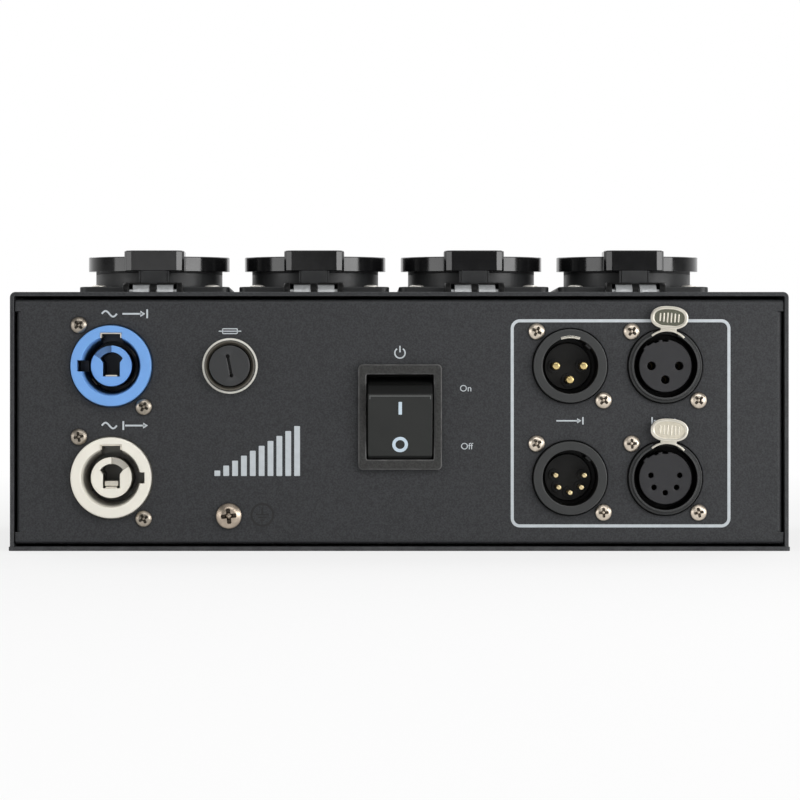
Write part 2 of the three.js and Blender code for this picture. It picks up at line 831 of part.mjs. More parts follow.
function fuseHolder() {
  const holder = turned([
    [0, -fuseBodyDepth], [fuseBodyRadius, -fuseBodyDepth], [fuseBodyRadius, 0], [fuseBezelRadius, 0],
    [fuseBezelRadius, fuseBezelReach - ringChamfer], [fuseBezelRadius - ringChamfer, fuseBezelReach],
    [fuseCapRadius + fit, fuseBezelReach], [fuseCapRadius + fit, fuseCapSeat - fit],
    [fuseBoreRadius, fuseCapSeat - fit], [fuseBoreRadius, -fuseBodyDepth + fuseFloor],
    [0, -fuseBodyDepth + fuseFloor],
  ]);
  const nut = cylinder(fuseNutRadius, -sheet - fuseNutHeight, -sheet, hexSides)
    .subtract(cylinder(fuseBodyRadius - overrun, -fuseBodyDepth, 0));
  return joined(holder, nut, blade(-fuseBodyDepth));
}

function fuseCap() {
  const cap = turned([
    [0, -fuseStemDepth], [fuseStemRadius, -fuseStemDepth], [fuseStemRadius, fuseCapSeat],
    [fuseCapRadius, fuseCapSeat], [fuseCapRadius, fuseCapReach - ringChamfer],
    [fuseCapRadius - ringChamfer, fuseCapReach], [0, fuseCapReach],
  ]);
  const grip = cylinder(fuseLinkRadius + fit, -fuseStemDepth - overrun, -fuseLinkFront + fit, roundSteps);
  const slot = block(
    [-fuseSlotWidth / 2, -fuseSlotLength / 2, fuseCapReach - fuseSlotDepth],
    [fuseSlotWidth / 2, fuseSlotLength / 2, fuseCapReach + overrun],
  );
  return cap.subtract(grip).subtract(slot.rotate([0, 0, -degrees(fuseSlotAngle)]));
}

function fuseLink() {
  const [front, back] = [-fuseLinkFront, -fuseLinkFront - fuseLinkLength];
  const glassRadius = fuseLinkRadius - fuseGlassStep;
  return turned([
    [0, back], [fuseLinkRadius, back], [fuseLinkRadius, back + fuseLinkCap],
    [glassRadius, back + fuseLinkCap], [glassRadius, front - fuseLinkCap],
    [fuseLinkRadius, front - fuseLinkCap], [fuseLinkRadius, front], [0, front],
  ], smallSteps);
}

// Power switch

function switchHousing() {
  const bezel = raised(roundedRect(bezelWidth, bezelHeight, bezelRound), 0, bezelReach);
  const [w, h] = [switchBodyWidth / 2, switchBodyHeight / 2];
  const back = -switchBodyDepth;
  const body = block([-w, -h, back], [w, h, overrun]);
  const [inW, inH] = [windowWidth / 2, switchCavityHeight / 2];
  const cavity = block(
    [-inW, -inH, bezelReach - switchLip - switchCavityDepth], [inW, inH, bezelReach - switchLip],
  );
  const mouth = block([-inW, -windowHeight / 2, -overrun], [inW, windowHeight / 2, bezelReach + overrun]);
  const pivot = cylinder(rockerPinRadius + fit, -boxWidth, boxWidth).rotate([0, 90, 0]);
  let housing = joined(bezel, body).subtract(cavity).subtract(mouth)
    .subtract(moved(pivot, 0, 0, bezelReach - rockerPivotDepth));
  for (const [x, y] of [[-1, -1], [1, -1], [-1, 1], [1, 1]]) {
    housing = housing.add(moved(blade(back), x * w / 2, y * h / 2, 0));
  }
  return housing;
}

// The rocker's side outline lies in a plane of height and depth round its pivot, and it is drawn at the
// tilt of the off position: the upper end stands out, the lower end is pressed in.
function switchRocker() {
  const width = windowWidth - 2 * rockerSideGap;
  const faceDepth = rockerRadius * Math.cos(rockerFaceAngle);
  const faceHalf = rockerRadius * Math.sin(rockerFaceAngle);
  const endHalf = rockerRadius * Math.sin(rockerEndAngle);
  const shape = new THREE.Shape();
  shape.moveTo(-rockerHeel, -endHalf);
  shape.lineTo(-rockerHeel, endHalf);
  shape.absarc(0, 0, rockerRadius, rockerEndAngle, rockerFaceAngle, true);
  shape.lineTo(faceDepth, faceHalf);
  shape.lineTo(faceDepth, -faceHalf);
  shape.absarc(0, 0, rockerRadius, -rockerFaceAngle, -rockerEndAngle, true);
  const slab = raised(shape, -width / 2, width / 2).rotate([0, -90, 0]);
  const reach = windowWidth / 2 + rockerPinReach;
  const pins = cylinder(rockerPinRadius, -reach, reach).rotate([0, 90, 0]);
  return joined(slab, pins).rotate([degrees(rockerTilt), 0, 0]);
}

// Display and buttons

function displayWindow() {
  const lens = raised(
    roundedRect(displayWidth - 2 * fit, displayHeight - 2 * fit, displayRim), -sheet - displayRimThickness,
    displayReach,
  );
  const rim = raised(
    roundedRect(displayWidth + 2 * displayRim, displayHeight + 2 * displayRim, displayRim),
    -sheet - displayRimThickness, -sheet,
  );
  return joined(lens, rim);
}

function buttonX(i) {
  return buttonFirstX + i * buttonPitch;
}

function pushButton() {
  const collarTopZ = -sheet - fit;
  const collarLowZ = collarTopZ - buttonCollarThickness;
  const stemLowZ = -controlBoardDepth + keySwitchHeight + buttonTravel + fit;
  return turned([
    [0, stemLowZ], [buttonStemRadius, stemLowZ], [buttonStemRadius, collarLowZ],
    [buttonRadius + buttonCollar, collarLowZ], [buttonRadius + buttonCollar, collarTopZ],
    [buttonRadius, collarTopZ], [buttonRadius, buttonReach - buttonRound],
    [buttonRadius - buttonRound, buttonReach], [0, buttonReach],
  ], roundSteps);
}

function controlBoard() {
  const left = displayX - displayWidth / 2 - controlBoardMargin;
  const right = buttonX(buttonNames.length - 1) + controlBoardMargin;
  const [low, high] = [buttonZ - controlBoardHeight / 2, buttonZ + controlBoardHeight / 2];
  let board = block([left, low, -controlBoardDepth - boardThickness], [right, high, -controlBoardDepth]);
  for (const x of [left + standoffInset, right - standoffInset]) {
    for (const y of [low + standoffInset, high - standoffInset]) {
      const standoff = cylinder(standoffRadius, -controlBoardDepth - boardThickness / 2, -sheet);
      board = board.add(moved(standoff, x, y, 0));
    }
  }
  const half = keySwitchSide / 2;
  for (let i = 0; i < buttonNames.length; i++) {
    const x = buttonX(i);
    board = board.add(block([x - half, buttonZ - half, -controlBoardDepth - boardThickness / 2],
      [x + half, buttonZ + half, -controlBoardDepth + keySwitchHeight]));
  }
  const [dw, dh] = [displayWidth / 2 - displayRim, displayHeight / 2 - displayRim];
  return board.add(block([displayX - dw, displayZ - dh, -controlBoardDepth - boardThickness / 2],
    [displayX + dw, displayZ + dh, -controlBoardDepth + digitBlockHeight]));
}

// Inside

function powerBoard() {
  const w = powerBoardWidth / 2;
  return block([-w, -powerBoardFront, baseSheet + bossHeight], [w, powerBoardBack, boardTop]);
}

function heatSink() {
  const [w, l] = [sinkWidth / 2, sinkLength / 2];
  let sink = block([-w, -l, 0], [w, l, sinkBase]);
  for (let i = 0; i < sinkFinCount; i++) {
    const x = -w + i * (sinkWidth - sinkFinThickness) / (sinkFinCount - 1);
    sink = sink.add(block([x, -l, sinkBase / 2], [x + sinkFinThickness, l, sinkBase + sinkFin]));
  }
  return sink;
}

function filterChoke() {
  const [inner, outer, h, r] = [chokeHole, chokeRadius, chokeHeight, chokeRound];
  return turned([
    [inner, 0], [outer - r, 0], [outer, r], [outer, h - r], [outer - r, h], [inner, h], [inner, 0],
  ], roundSteps);
}

function supplyModule() {
  const low = raised(roundedRect(supplyWidth, supplyDepth, supplyEdge), 0, supplyHeight - supplyEdge);
  const lid = raised(roundedRect(supplyWidth - supplyEdge, supplyDepth - supplyEdge, supplyEdge), supplyEdge,
    supplyHeight);
  return joined(low, lid);
}

function terminalBlock() {
  let body = block([-terminalWidth / 2, -terminalDepth / 2, 0], [terminalWidth / 2, terminalDepth / 2,
    terminalHeight]);
  const ways = 3;
  const pitch = terminalWidth / ways;
  for (let i = 0; i < ways; i++) {
    const x = (i - (ways - 1) / 2) * pitch;
    const half = pitch * terminalMouthShare / 2;
    body = body.subtract(block([x - half, -terminalDepth, half], [x + half, 0, 3 * half]));
  }
  return body;
}

// Assembly

const panelHoles = [];

function roundHole(x, y, radius, steps = roundSteps) {
  panelHoles.push(roundOpening(x, y, radius, steps));
}

function screwPair(prefix, x, y, screwX, screwY) {
  for (const [label, side] of [['left', -1], ['right', 1]]) {
    const [atX, atY] = [x + side * screwX, y - side * screwY];
    roundHole(atX, atY, screwRadius + fit, holeSteps);
    const screw = crossScrew(screwHeadRadius, screwHeadHeight, screwRadius, screwLength);
    place(connectorSide, `${prefix}_screw_${label}`, screw, nickel, atX, atY);
  }
}

function box() {
  place(pack, 'wrap_cover', wrapCover(), powderCoat);
  place(pack, 'base_plate', basePlate(), powderCoat);
  place(connectorSide, 'connector_panel', foldedPanel(panelHoles), powderCoat);
  const [x, y] = [displayX, displayZ];
  const openings = [roundedRect(displayWidth, displayHeight, displayRim, x, y)];
  for (let i = 0; i < buttonNames.length; i++) {
    openings.push(roundOpening(buttonX(i), buttonZ, buttonRadius + fit, roundSteps));
  }
  place(controlSide, 'control_panel', foldedPanel(openings), powderCoat);
}

function outlets() {
  for (let i = 0; i < outletCount; i++) {
    const at = [outletX(i), outletY, coverTop];
    place(pack, `socket_body_${i + 1}`, socketBody(), mouldedBlack, ...at);
    place(pack, `socket_lid_${i + 1}`, socketLid(), glossBlack, ...at);
    place(pack, `lid_hinge_pin_${i + 1}`, hingePin(), nickel, ...at);
  }
}

function powerConnectors() {
  for (const [name, y, keySide, material] of [
    ['power_inlet', inletZ, -1, powerBlue], ['power_outlet', outletZ, 1, powerWhite],
  ]) {
    place(connectorSide, name, powerConnector(keySide), material, powerX, y);
    roundHole(powerX, y, powerRingRadius + fit);
    screwPair(name, powerX, y, powerScrewX, powerScrewZ);
  }
}

function dataConnectors() {
  for (const [count, y] of [[3, dataHighZ], [5, dataLowZ]]) {
    const [inX, outX] = [dataX, dataX + dataPitchX];
    place(connectorSide, `data_in_${count}pin`, maleShell(), zincShell, inX, y);
    place(connectorSide, `data_in_${count}pin_contacts`, maleContacts(count), gold, inX, y);
    if (count === 3) {
      const socket = joined(femaleShell(), femaleInsert(count, femaleFloor - overrun));
      place(connectorSide, 'data_out_3pin', socket, zincShell, outX, y);
    } else {
      const insert = femaleInsert(count, femaleFloor + fit);
      place(connectorSide, 'data_out_5pin', femaleShell(), zincShell, outX, y);
      place(connectorSide, 'data_out_5pin_insert', insert, mouldedBlack, outX, y);
    }
    place(connectorSide, `push_latch_${count}pin`, pushLatch(), nickel, outX, y);
    for (const [name, x] of [[`data_in_${count}pin`, inX], [`data_out_${count}pin`, outX]]) {
      roundHole(x, y, dataRingRadius + fit);
      screwPair(name, x, y, dataScrewX, dataScrewZ);
    }
  }
}

function panelControls() {
  place(connectorSide, 'fuse_holder', fuseHolder(), mouldedBlack, fuseX, fuseZ);
  place(connectorSide, 'fuse_cap', fuseCap(), mouldedBlack, fuseX, fuseZ);
  place(connectorSide, 'fuse_link', fuseLink(), glass, fuseX, fuseZ);
  roundHole(fuseX, fuseZ, fuseBodyRadius + fit);
  place(connectorSide, 'switch_housing', switchHousing(), mouldedBlack, switchX, switchZ);
  place(connectorSide, 'switch_rocker', switchRocker(), rockerBlack, switchX, switchZ,
    bezelReach - rockerPivotDepth);
  panelHoles.push(roundedRect(switchBodyWidth + 2 * fit, switchBodyHeight + 2 * fit, fit, switchX, switchZ));
  const earthScrew = joined(
    crossScrew(earthHeadRadius, earthHeadHeight, earthRadius, earthLength),
    cylinder(earthNutRadius, -sheet - earthNutHeight, -sheet, hexSides),
  );
  place(connectorSide, 'earth_screw', earthScrew, nickel, earthX, earthZ);
  roundHole(earthX, earthZ, earthRadius + fit, holeSteps);
}

function controls() {
  place(controlSide, 'display_window', displayWindow(), smoked, displayX, displayZ);
  place(controlSide, 'control_board', controlBoard(), boardGreen);
  buttonNames.forEach((name, i) => {
    place(controlSide, name, pushButton(), mouldedBlack, buttonX(i), buttonZ);
  });
}

function inside() {
  place(pack, 'power_board', powerBoard(), boardGreen);
  const rowY = outletY;
  const chokePitch = 2 * chokeRadius + chokeGap;
  for (let i = 0; i < outletCount; i++) {
    const x = (i - (outletCount - 1) / 2) * chokePitch;
    place(pack, `filter_choke_${i + 1}`, filterChoke(), copper, x, rowY, boardTop);
  }
  place(pack, 'heat_sink', heatSink(), aluminium, 0, sinkY, boardTop);
  const sideX = powerBoardWidth / 2 - terminalWidth / 2;
  place(pack, 'mains_terminal_block', terminalBlock(), mouldedBlack, -sideX, sinkY, boardTop);
  place(pack, 'supply_module', supplyModule(), mouldedBlack, sideX, sinkY, boardTop);
  const half = dataBoardMargin + dataBodyRadius;
  const back = -sheet - dataBodyDepth;
  const board = block(
    [dataX - half, dataLowZ - half, back - boardThickness],
    [dataX + dataPitchX + half, dataHighZ + half, back],
  );
  place(connectorSide, 'data_board', board, boardGreen);
}

powerConnectors();
dataConnectors();
panelControls();
box();
outlets();
controls();
inside();

// The pack is centred front to back on the origin, connectors and buttons included.
const reach = new THREE.Box3().setFromObject(pack);
pack.position.y = -(reach.min.y + reach.max.y) / 2;

export default pack;
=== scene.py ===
# Dimmer pack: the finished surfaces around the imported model.
#
# Sizes are millimetres, and a mesh becomes metres when it is made. What sits on a long side is drawn in that
# panel's own frame: X to the right as the panel is seen, Y up, Z straight out, and zero on the panel's face.
# What sits on top is drawn round the middle of its outlet, with Z at zero on top of the cover.

import math

import bmesh
import bpy
from mathutils import Matrix, Vector


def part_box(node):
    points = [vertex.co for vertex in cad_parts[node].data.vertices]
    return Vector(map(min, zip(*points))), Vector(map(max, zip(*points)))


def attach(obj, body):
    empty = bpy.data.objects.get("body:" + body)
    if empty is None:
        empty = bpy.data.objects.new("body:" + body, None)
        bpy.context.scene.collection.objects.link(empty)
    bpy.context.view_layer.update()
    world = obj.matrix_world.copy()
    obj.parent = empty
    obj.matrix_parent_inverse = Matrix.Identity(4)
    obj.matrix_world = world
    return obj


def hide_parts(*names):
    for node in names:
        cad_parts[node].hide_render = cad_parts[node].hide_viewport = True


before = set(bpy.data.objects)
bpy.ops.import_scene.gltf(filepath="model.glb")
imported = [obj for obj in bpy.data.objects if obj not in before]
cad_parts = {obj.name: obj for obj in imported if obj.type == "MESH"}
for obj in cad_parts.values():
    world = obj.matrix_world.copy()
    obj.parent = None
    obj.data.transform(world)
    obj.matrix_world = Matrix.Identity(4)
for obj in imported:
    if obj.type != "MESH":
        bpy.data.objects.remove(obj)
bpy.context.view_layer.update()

MM = 0.001
TURN = 2 * math.pi
HALF = math.pi
QUARTER = math.pi / 2
ROUND_STEPS = 96
SMALL_STEPS = 40
CORNER_STEPS = 8
EDGE_STEPS = 3
BEND_STEPS = 8
SMOOTH_ANGLE = math.radians(40)
RIM_ANGLE = math.radians(20)
FIT = 0.3
SHEET_MARGIN = 0.2
COIL_STEPS = 24
WIRE_STEPS = 8
COIL_PITCH = 2.06
PRINT_LOW = -0.04
PRINT_HIGH = 0.03

# Camera, level and a little left of the middle of the connector side
IMAGE_WIDTH = 800
SENSOR_WIDTH = 36
FOCAL_PIXELS = 2804
AHEAD_PIXEL = 355
CAMERA_X = -13
CAMERA_Z = 44.3
CAMERA_AWAY = 823


def box_of(node):
    low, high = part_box(node)
    return low / MM, high / MM


def middle(node):
    low, high = box_of(node)
    return (low + high) / 2


PANEL_Y = box_of("connector_panel")[0].y
CONTROL_Y = box_of("control_panel")[1].y
COVER_LOW, COVER_HIGH = box_of("wrap_cover")
BASE_LOW, BASE_HIGH = box_of("base_plate")
FRONT = Matrix.Translation((0, PANEL_Y, 0)) @ Matrix.Rotation(QUARTER, 4, "X")
BACK = (Matrix.Translation((0, CONTROL_Y, 0)) @ Matrix.Rotation(HALF, 4, "Z")
        @ Matrix.Rotation(QUARTER, 4, "X"))
TOP = Matrix.Translation((0, 0, COVER_HIGH.z))


def seat_on(side, name):
    """Where a node sits on a long side, FRONT or BACK, in that panel's own frame."""
    centre = middle(name)
    x = centre.x if side is FRONT else -centre.x
    return side @ Matrix.Translation((x, centre.z, 0))


# Outlines

def arc(radius, start, end, steps, x=0, y=0):
    return [Vector((x + radius * math.cos(a), y + radius * math.sin(a)))
            for a in (start + (end - start) * i / steps for i in range(steps + 1))]


def circle(radius, x=0, y=0, steps=ROUND_STEPS):
    return arc(radius, 0, TURN, steps, x, y)[:-1]


def rectangle(width, height, x=0, y=0):
    w, h = width / 2, height / 2
    return [Vector((x + i, y + j)) for i, j in ((-w, -h), (w, -h), (w, h), (-w, h))]


def rounded(points, radius, steps=CORNER_STEPS, closed=True):
    """The outline with its corners rounded, each by its own radius if a list is given."""
    radii = radius if isinstance(radius, list) else [radius] * len(points)
    result = []
    for i, (point, wanted) in enumerate(zip(points, radii)):
        corner = Vector(point)
        if not wanted or not closed and i in (0, len(points) - 1):
            result.append(corner)
            continue
        before = Vector(points[i - 1]) - corner
        after = Vector(points[(i + 1) % len(points)]) - corner
        half = before.angle(after) / 2
        reach = min(wanted / math.tan(half), before.length * 0.49, after.length * 0.49)
        one, two = before.normalized(), after.normalized()
        centre = corner + (one + two).normalized() * (reach / math.cos(half))
        start = corner + one * reach - centre
        end = corner + two * reach - centre
        turn = math.atan2(start.cross(end), start.dot(end))
        for k in range(steps + 1):
            result.append(centre + Matrix.Rotation(turn * k / steps, 2) @ start)
    return result


def rounded_rectangle(width, height, radius, x=0, y=0):
    return rounded(rectangle(width, height, x, y), radius)


def notched_circle(radius, notches, steps=ROUND_STEPS):
    """A circle with square notches, each (angle, width, depth). A depth below zero points inwards."""
    spans = sorted((angle % TURN, width, depth) for angle, width, depth in notches)
    points = []
    for i, (angle, width, depth) in enumerate(spans):
        half = math.asin(width / 2 / radius)
        out = Vector((math.cos(angle), math.sin(angle)))
        side = Vector((-out.y, out.x)) * width / 2
        level = radius * math.cos(half)
        points += [out * level - side, out * (level + depth) - side, out * (level + depth) + side]
        after, after_width, _ = spans[(i + 1) % len(spans)]
        end = after - math.asin(after_width / 2 / radius) + (TURN if i + 1 == len(spans) else 0)
        count = max(2, round(steps * (end - angle - half) / TURN))
        points += arc(radius, angle + half, end, count)[:-1]
    return points


def oval(width, height, x=0, y=0, fullness=2.35, steps=72):
    """An oval that is a little fuller than an ellipse."""
    points = []
    for i in range(steps):
        c, s = math.cos(TURN * i / steps), math.sin(TURN * i / steps)
        points.append(Vector((x + width / 2 * math.copysign(abs(c) ** (2 / fullness), c),
                              y + height / 2 * math.copysign(abs(s) ** (2 / fullness), s))))
    return points


def mirrored(points):
    return [Vector((-p.x, p.y)) for p in reversed(points)]


def area(points):
    return sum(a.cross(b) for a, b in zip(points, points[1:] + points[:1])) / 2


def inset(loop, distance):
    """The loop moved to its left, with mitred corners."""
    if distance == 0:
        return loop
    result = []
    for before, point, after in zip(loop[-1:] + loop[:-1], loop, loop[1:] + loop[:1]):
        one, two = (point - before).normalized(), (after - point).normalized()
        left = Vector((-one.y - two.y, one.x + two.x))
        result.append(point + left * distance / (1 + one.dot(two)))
    return result


# Solids

def slab(outline, holes=(), low=0.0, high=1.0, edge=0.2, low_edge=None, margin=0.0):
    """A plate between two heights, with holes through it and rounded edges. A margin keeps a narrow flat
    border beside them, so that wear stays on the edges of a wide sheet."""
    bm = bmesh.new()
    low_edge = edge if low_edge is None else low_edge
    levels = [(low_edge + margin * 2, low), (low_edge + margin, low)] if margin else []
    for i in range(EDGE_STEPS + 1 if low_edge else 1):
        a = QUARTER * i / EDGE_STEPS if low_edge else QUARTER
        levels.append((low_edge * (1 - math.sin(a)), low + low_edge * (1 - math.cos(a))))
    for i in range(EDGE_STEPS + 1 if edge else 1):
        a = QUARTER * i / EDGE_STEPS if edge else 0
        levels.append((edge * (1 - math.cos(a)), high - edge * (1 - math.sin(a))))
    if margin:
        levels += [(edge + margin, high), (edge + margin * 2, high)]
    ends = ([], [])
    for hand, points in [(1, outline)] + [(-1, hole) for hole in holes]:
        points = [Vector(p) for p in points]
        loop = points if area(points) * hand > 0 else points[::-1]
        rings = [[bm.verts.new((p.x, p.y, z)) for p in inset(loop, distance)] for distance, z in levels]
        for one, two in zip(rings, rings[1:]):
            for i in range(len(loop)):
                bm.faces.new((one[i - 1], one[i], two[i], two[i - 1]))
        for end, ring in zip(ends, (rings[0], rings[-1])):
            end += [bm.edges.get((ring[i - 1], ring[i])) for i in range(len(ring))]
    for edges in ends:
        bmesh.ops.triangle_fill(bm, use_beauty=True, edges=edges, normal=(0, 0, 1))
    return bm


def turned(profile, steps=ROUND_STEPS):
    """A profile of (radius, height) points turned round Z. It ends on the axis or closes on itself."""
    bm = bmesh.new()
    rings = []
    for radius, z in profile:
        angles = [TURN * i / steps for i in range(1 if radius < 1e-6 else steps)]
        rings.append([bm.verts.new((radius * math.cos(a), radius * math.sin(a), z)) for a in angles])
    for one, two in zip(rings, rings[1:] + rings[:1]):
        for i in range(steps if len(one) + len(two) > 2 else 0):
            corners = [one[(i - 1) % len(one)], one[i % len(one)], two[i % len(two)], two[(i - 1) % len(two)]]
            bm.faces.new(dict.fromkeys(corners))
    return bm


def turned_round(points, radius, steps=ROUND_STEPS):
    return turned(rounded(points, radius, closed=False, steps=4), steps)


def rod(radius, low, high, edge=0.2, steps=SMALL_STEPS):
    return turned_round([(0, low), (radius, low), (radius, high), (0, high)], edge, steps)


def tube(inner, outer, low, high, steps=SMALL_STEPS):
    return turned([(inner, low), (outer, low), (outer, high), (inner, high)], steps)


def coil(radius, wire, start, length):
    """A closely wound spring of round wire along X."""
    bm = bmesh.new()
    steps = int(length / (COIL_PITCH * wire)) * COIL_STEPS
    rings = []
    for i in range(steps + 1):
        angle = TURN * i / COIL_STEPS
        centre = Vector((start + wire + (length - 2 * wire) * i / steps, 0, 0))
        out = Vector((0, math.cos(angle), math.sin(angle)))
        ring = []
        for k in range(WIRE_STEPS):
            a = TURN * k / WIRE_STEPS
            side = Vector((wire * math.sin(a), 0, 0))
            ring.append(bm.verts.new(centre + out * (radius + wire * math.cos(a)) + side))
        rings.append(ring)
    for one, two in zip(rings, rings[1:]):
        for k in range(WIRE_STEPS):
            bm.faces.new((one[k - 1], one[k], two[k], two[k - 1]))
    bm.faces.new(rings[0])
    bm.faces.new(rings[-1])
    return bm


def seated(bm, matrix):
    bmesh.ops.transform(bm, matrix=matrix, verts=bm.verts)
    return bm


def moved(bm, x=0, y=0, z=0):
    return seated(bm, Matrix.Translation((x, y, z)))


def copied(bm, matrix):
    return seated(bm.copy(), matrix)


def along_x(bm):
    """An outline drawn in X and Y is stood up in Y and Z, with its thickness along X."""
    return seated(bm, Matrix(((0, 0, 1, 0), (1, 0, 0, 0), (0, 1, 0, 0), (0, 0, 0, 1))))


def along_y(bm):
    """An outline drawn in X and Y is stood up in X and Z, with its thickness along -Y."""
    return seated(bm, Matrix.Rotation(QUARTER, 4, "X"))


def laid(bm):
    """A piece drawn round Z is laid along X."""
    return seated(bm, Matrix.Rotation(QUARTER, 4, "Y"))


def spun(bm, angle):
    return seated(bm, Matrix.Rotation(angle, 4, "Z"))


def printed(outline, holes=()):
    """A thin mark that stands a little out of its face."""
    return slab(outline, holes, PRINT_LOW, PRINT_HIGH, 0)


def fold(bm, along, at, side, radius, inside=None):
    """Bends a flat sheet down by a right angle, past a line across one of its two axes. Beside the bend,
    narrow flat strips keep its shading off the wide faces."""
    length = radius * QUARTER
    normal = Vector((along == 0, along == 1, 0))
    steps = [-SHEET_MARGIN * 2, -SHEET_MARGIN] + [length * i / BEND_STEPS for i in range(BEND_STEPS + 1)]
    steps += [length + SHEET_MARGIN, length + SHEET_MARGIN * 2]
    for step in steps:
        place = normal * side * (at + step)
        bmesh.ops.bisect_plane(bm, geom=bm.verts[:] + bm.edges[:] + bm.faces[:], dist=1e-5,
                               plane_co=place, plane_no=normal)
    for vert in bm.verts:
        past = vert.co[along] * side - at
        if past < 1e-4 or inside and not inside(vert.co):
            continue
        angle = min(past, length) / radius
        depth = vert.co.z
        vert.co[along] = side * (at + (radius + depth) * math.sin(angle))
        vert.co.z = (radius + depth) * math.cos(angle) - radius - max(0, past - length)


def object_of(bm, name="part"):
    mesh = bpy.data.meshes.new(name)
    bmesh.ops.recalc_face_normals(bm, faces=bm.faces)
    bm.to_mesh(mesh)
    made = bpy.data.objects.new(name, mesh)
    bpy.context.scene.collection.objects.link(made)
    return made


def boolean(first, others, operation):
    base = object_of(first)
    tools = [object_of(other) for other in others]
    for tool in tools:
        modifier = base.modifiers.new(operation, "BOOLEAN")
        modifier.operation = operation
        modifier.solver = "EXACT"
        modifier.object = tool
    evaluated = base.evaluated_get(bpy.context.evaluated_depsgraph_get())
    result = bmesh.new()
    result.from_mesh(evaluated.to_mesh())
    evaluated.to_mesh_clear()
    for used in [base] + tools:
        mesh = used.data
        bpy.data.objects.remove(used)
        bpy.data.meshes.remove(mesh)
    return result


def fused(first, *others):
    return boolean(first, others, "UNION")


def cut(first, *others):
    return boolean(first, others, "DIFFERENCE")


def gathered(parts):
    whole = bmesh.new()
    for part in parts:
        mesh = bpy.data.meshes.new("part")
        part.to_mesh(mesh)
        whole.from_mesh(mesh)
        bpy.data.meshes.remove(mesh)
    return whole


def mark_rims(bm):
    """Writes 1 at the vertices of outer edges, where a surface wears first and where a painted edge highlight
    goes, and 0 elsewhere.
    """
    bm.normal_update()
    layer = bm.verts.layers.float.new("rim")
    for edge in bm.edges:
        if edge.is_convex and edge.calc_face_angle(0) > RIM_ANGLE:
            for vert in edge.verts:
                vert[layer] = 1


def piece(name, parts, matrix, body, material, nodes=()):
    """One shown object of closed parts, which rides on a body and stands for its nodes."""
    whole = seated(gathered(parts), Matrix.Scale(MM, 4) @ matrix)
    bmesh.ops.recalc_face_normals(whole, faces=whole.faces)
    mark_rims(whole)
    made = object_of(whole, name)
    made.data.polygons.foreach_set("use_smooth", [True] * len(made.data.polygons))
    made.data.set_sharp_from_angle(angle=SMOOTH_ANGLE)
    made.data.materials.append(material)
    normals = made.modifiers.new("normals", "WEIGHTED_NORMAL")
    normals.keep_sharp = True
    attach(made, body)
    if nodes:
        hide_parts(*nodes)


# Materials

def node(tree, kind, inputs=None, **settings):
    made = tree.nodes.new(kind)
    for key, value in settings.items():
        setattr(made, key, value)
    for key, value in (inputs or {}).items():
        if isinstance(value, bpy.types.NodeSocket):
            tree.links.new(value, made.inputs[key])
        else:
            made.inputs[key].default_value = value
    return made


def noise(tree, size, detail=2.0, stretch=None):
    """Noise in space with features about as wide as size, in millimetres."""
    place = node(tree, "ShaderNodeTexCoord").outputs["Object"]
    if stretch:
        place = node(tree, "ShaderNodeMapping", {"Vector": place, "Scale": stretch}).outputs["Vector"]
    return node(tree, "ShaderNodeTexNoise", {"Vector": place, "Scale": 1 / (size * MM), "Detail": detail}
                ).outputs["Fac"]


def spread(tree, value, low, high, start=0.3, end=0.7):
    return node(tree, "ShaderNodeMapRange", {"Value": value, "From Min": start, "From Max": end,
                                             "To Min": low, "To Max": high}).outputs["Result"]


def blended(tree, share, one, two, kind="MIX"):
    mix = node(tree, "ShaderNodeMix", data_type="RGBA", blend_type=kind)
    for index, value in ((0, share), (6, one), (7, two)):
        if isinstance(value, bpy.types.NodeSocket):
            tree.links.new(value, mix.inputs[index])
        else:
            mix.inputs[index].default_value = value
    return mix.outputs[2]


def shade(colour, factor):
    return (*(min(1, c * factor) for c in colour), 1)


def linear(levels):
    """A colour given as 0 to 255 levels of the screen."""
    return tuple((v / 255 / 12.92) if v <= 10 else ((v / 255 + 0.055) / 1.055) ** 2.4 for v in levels)


def combined(tree, operation, one, two):
    return node(tree, "ShaderNodeMath", {0: one, 1: two}, operation=operation).outputs[0]


def place_along(tree, axis):
    """How far a point lies along one axis, in metres."""
    place = node(tree, "ShaderNodeTexCoord").outputs["Object"]
    return node(tree, "ShaderNodeSeparateXYZ", {0: place}).outputs[axis]


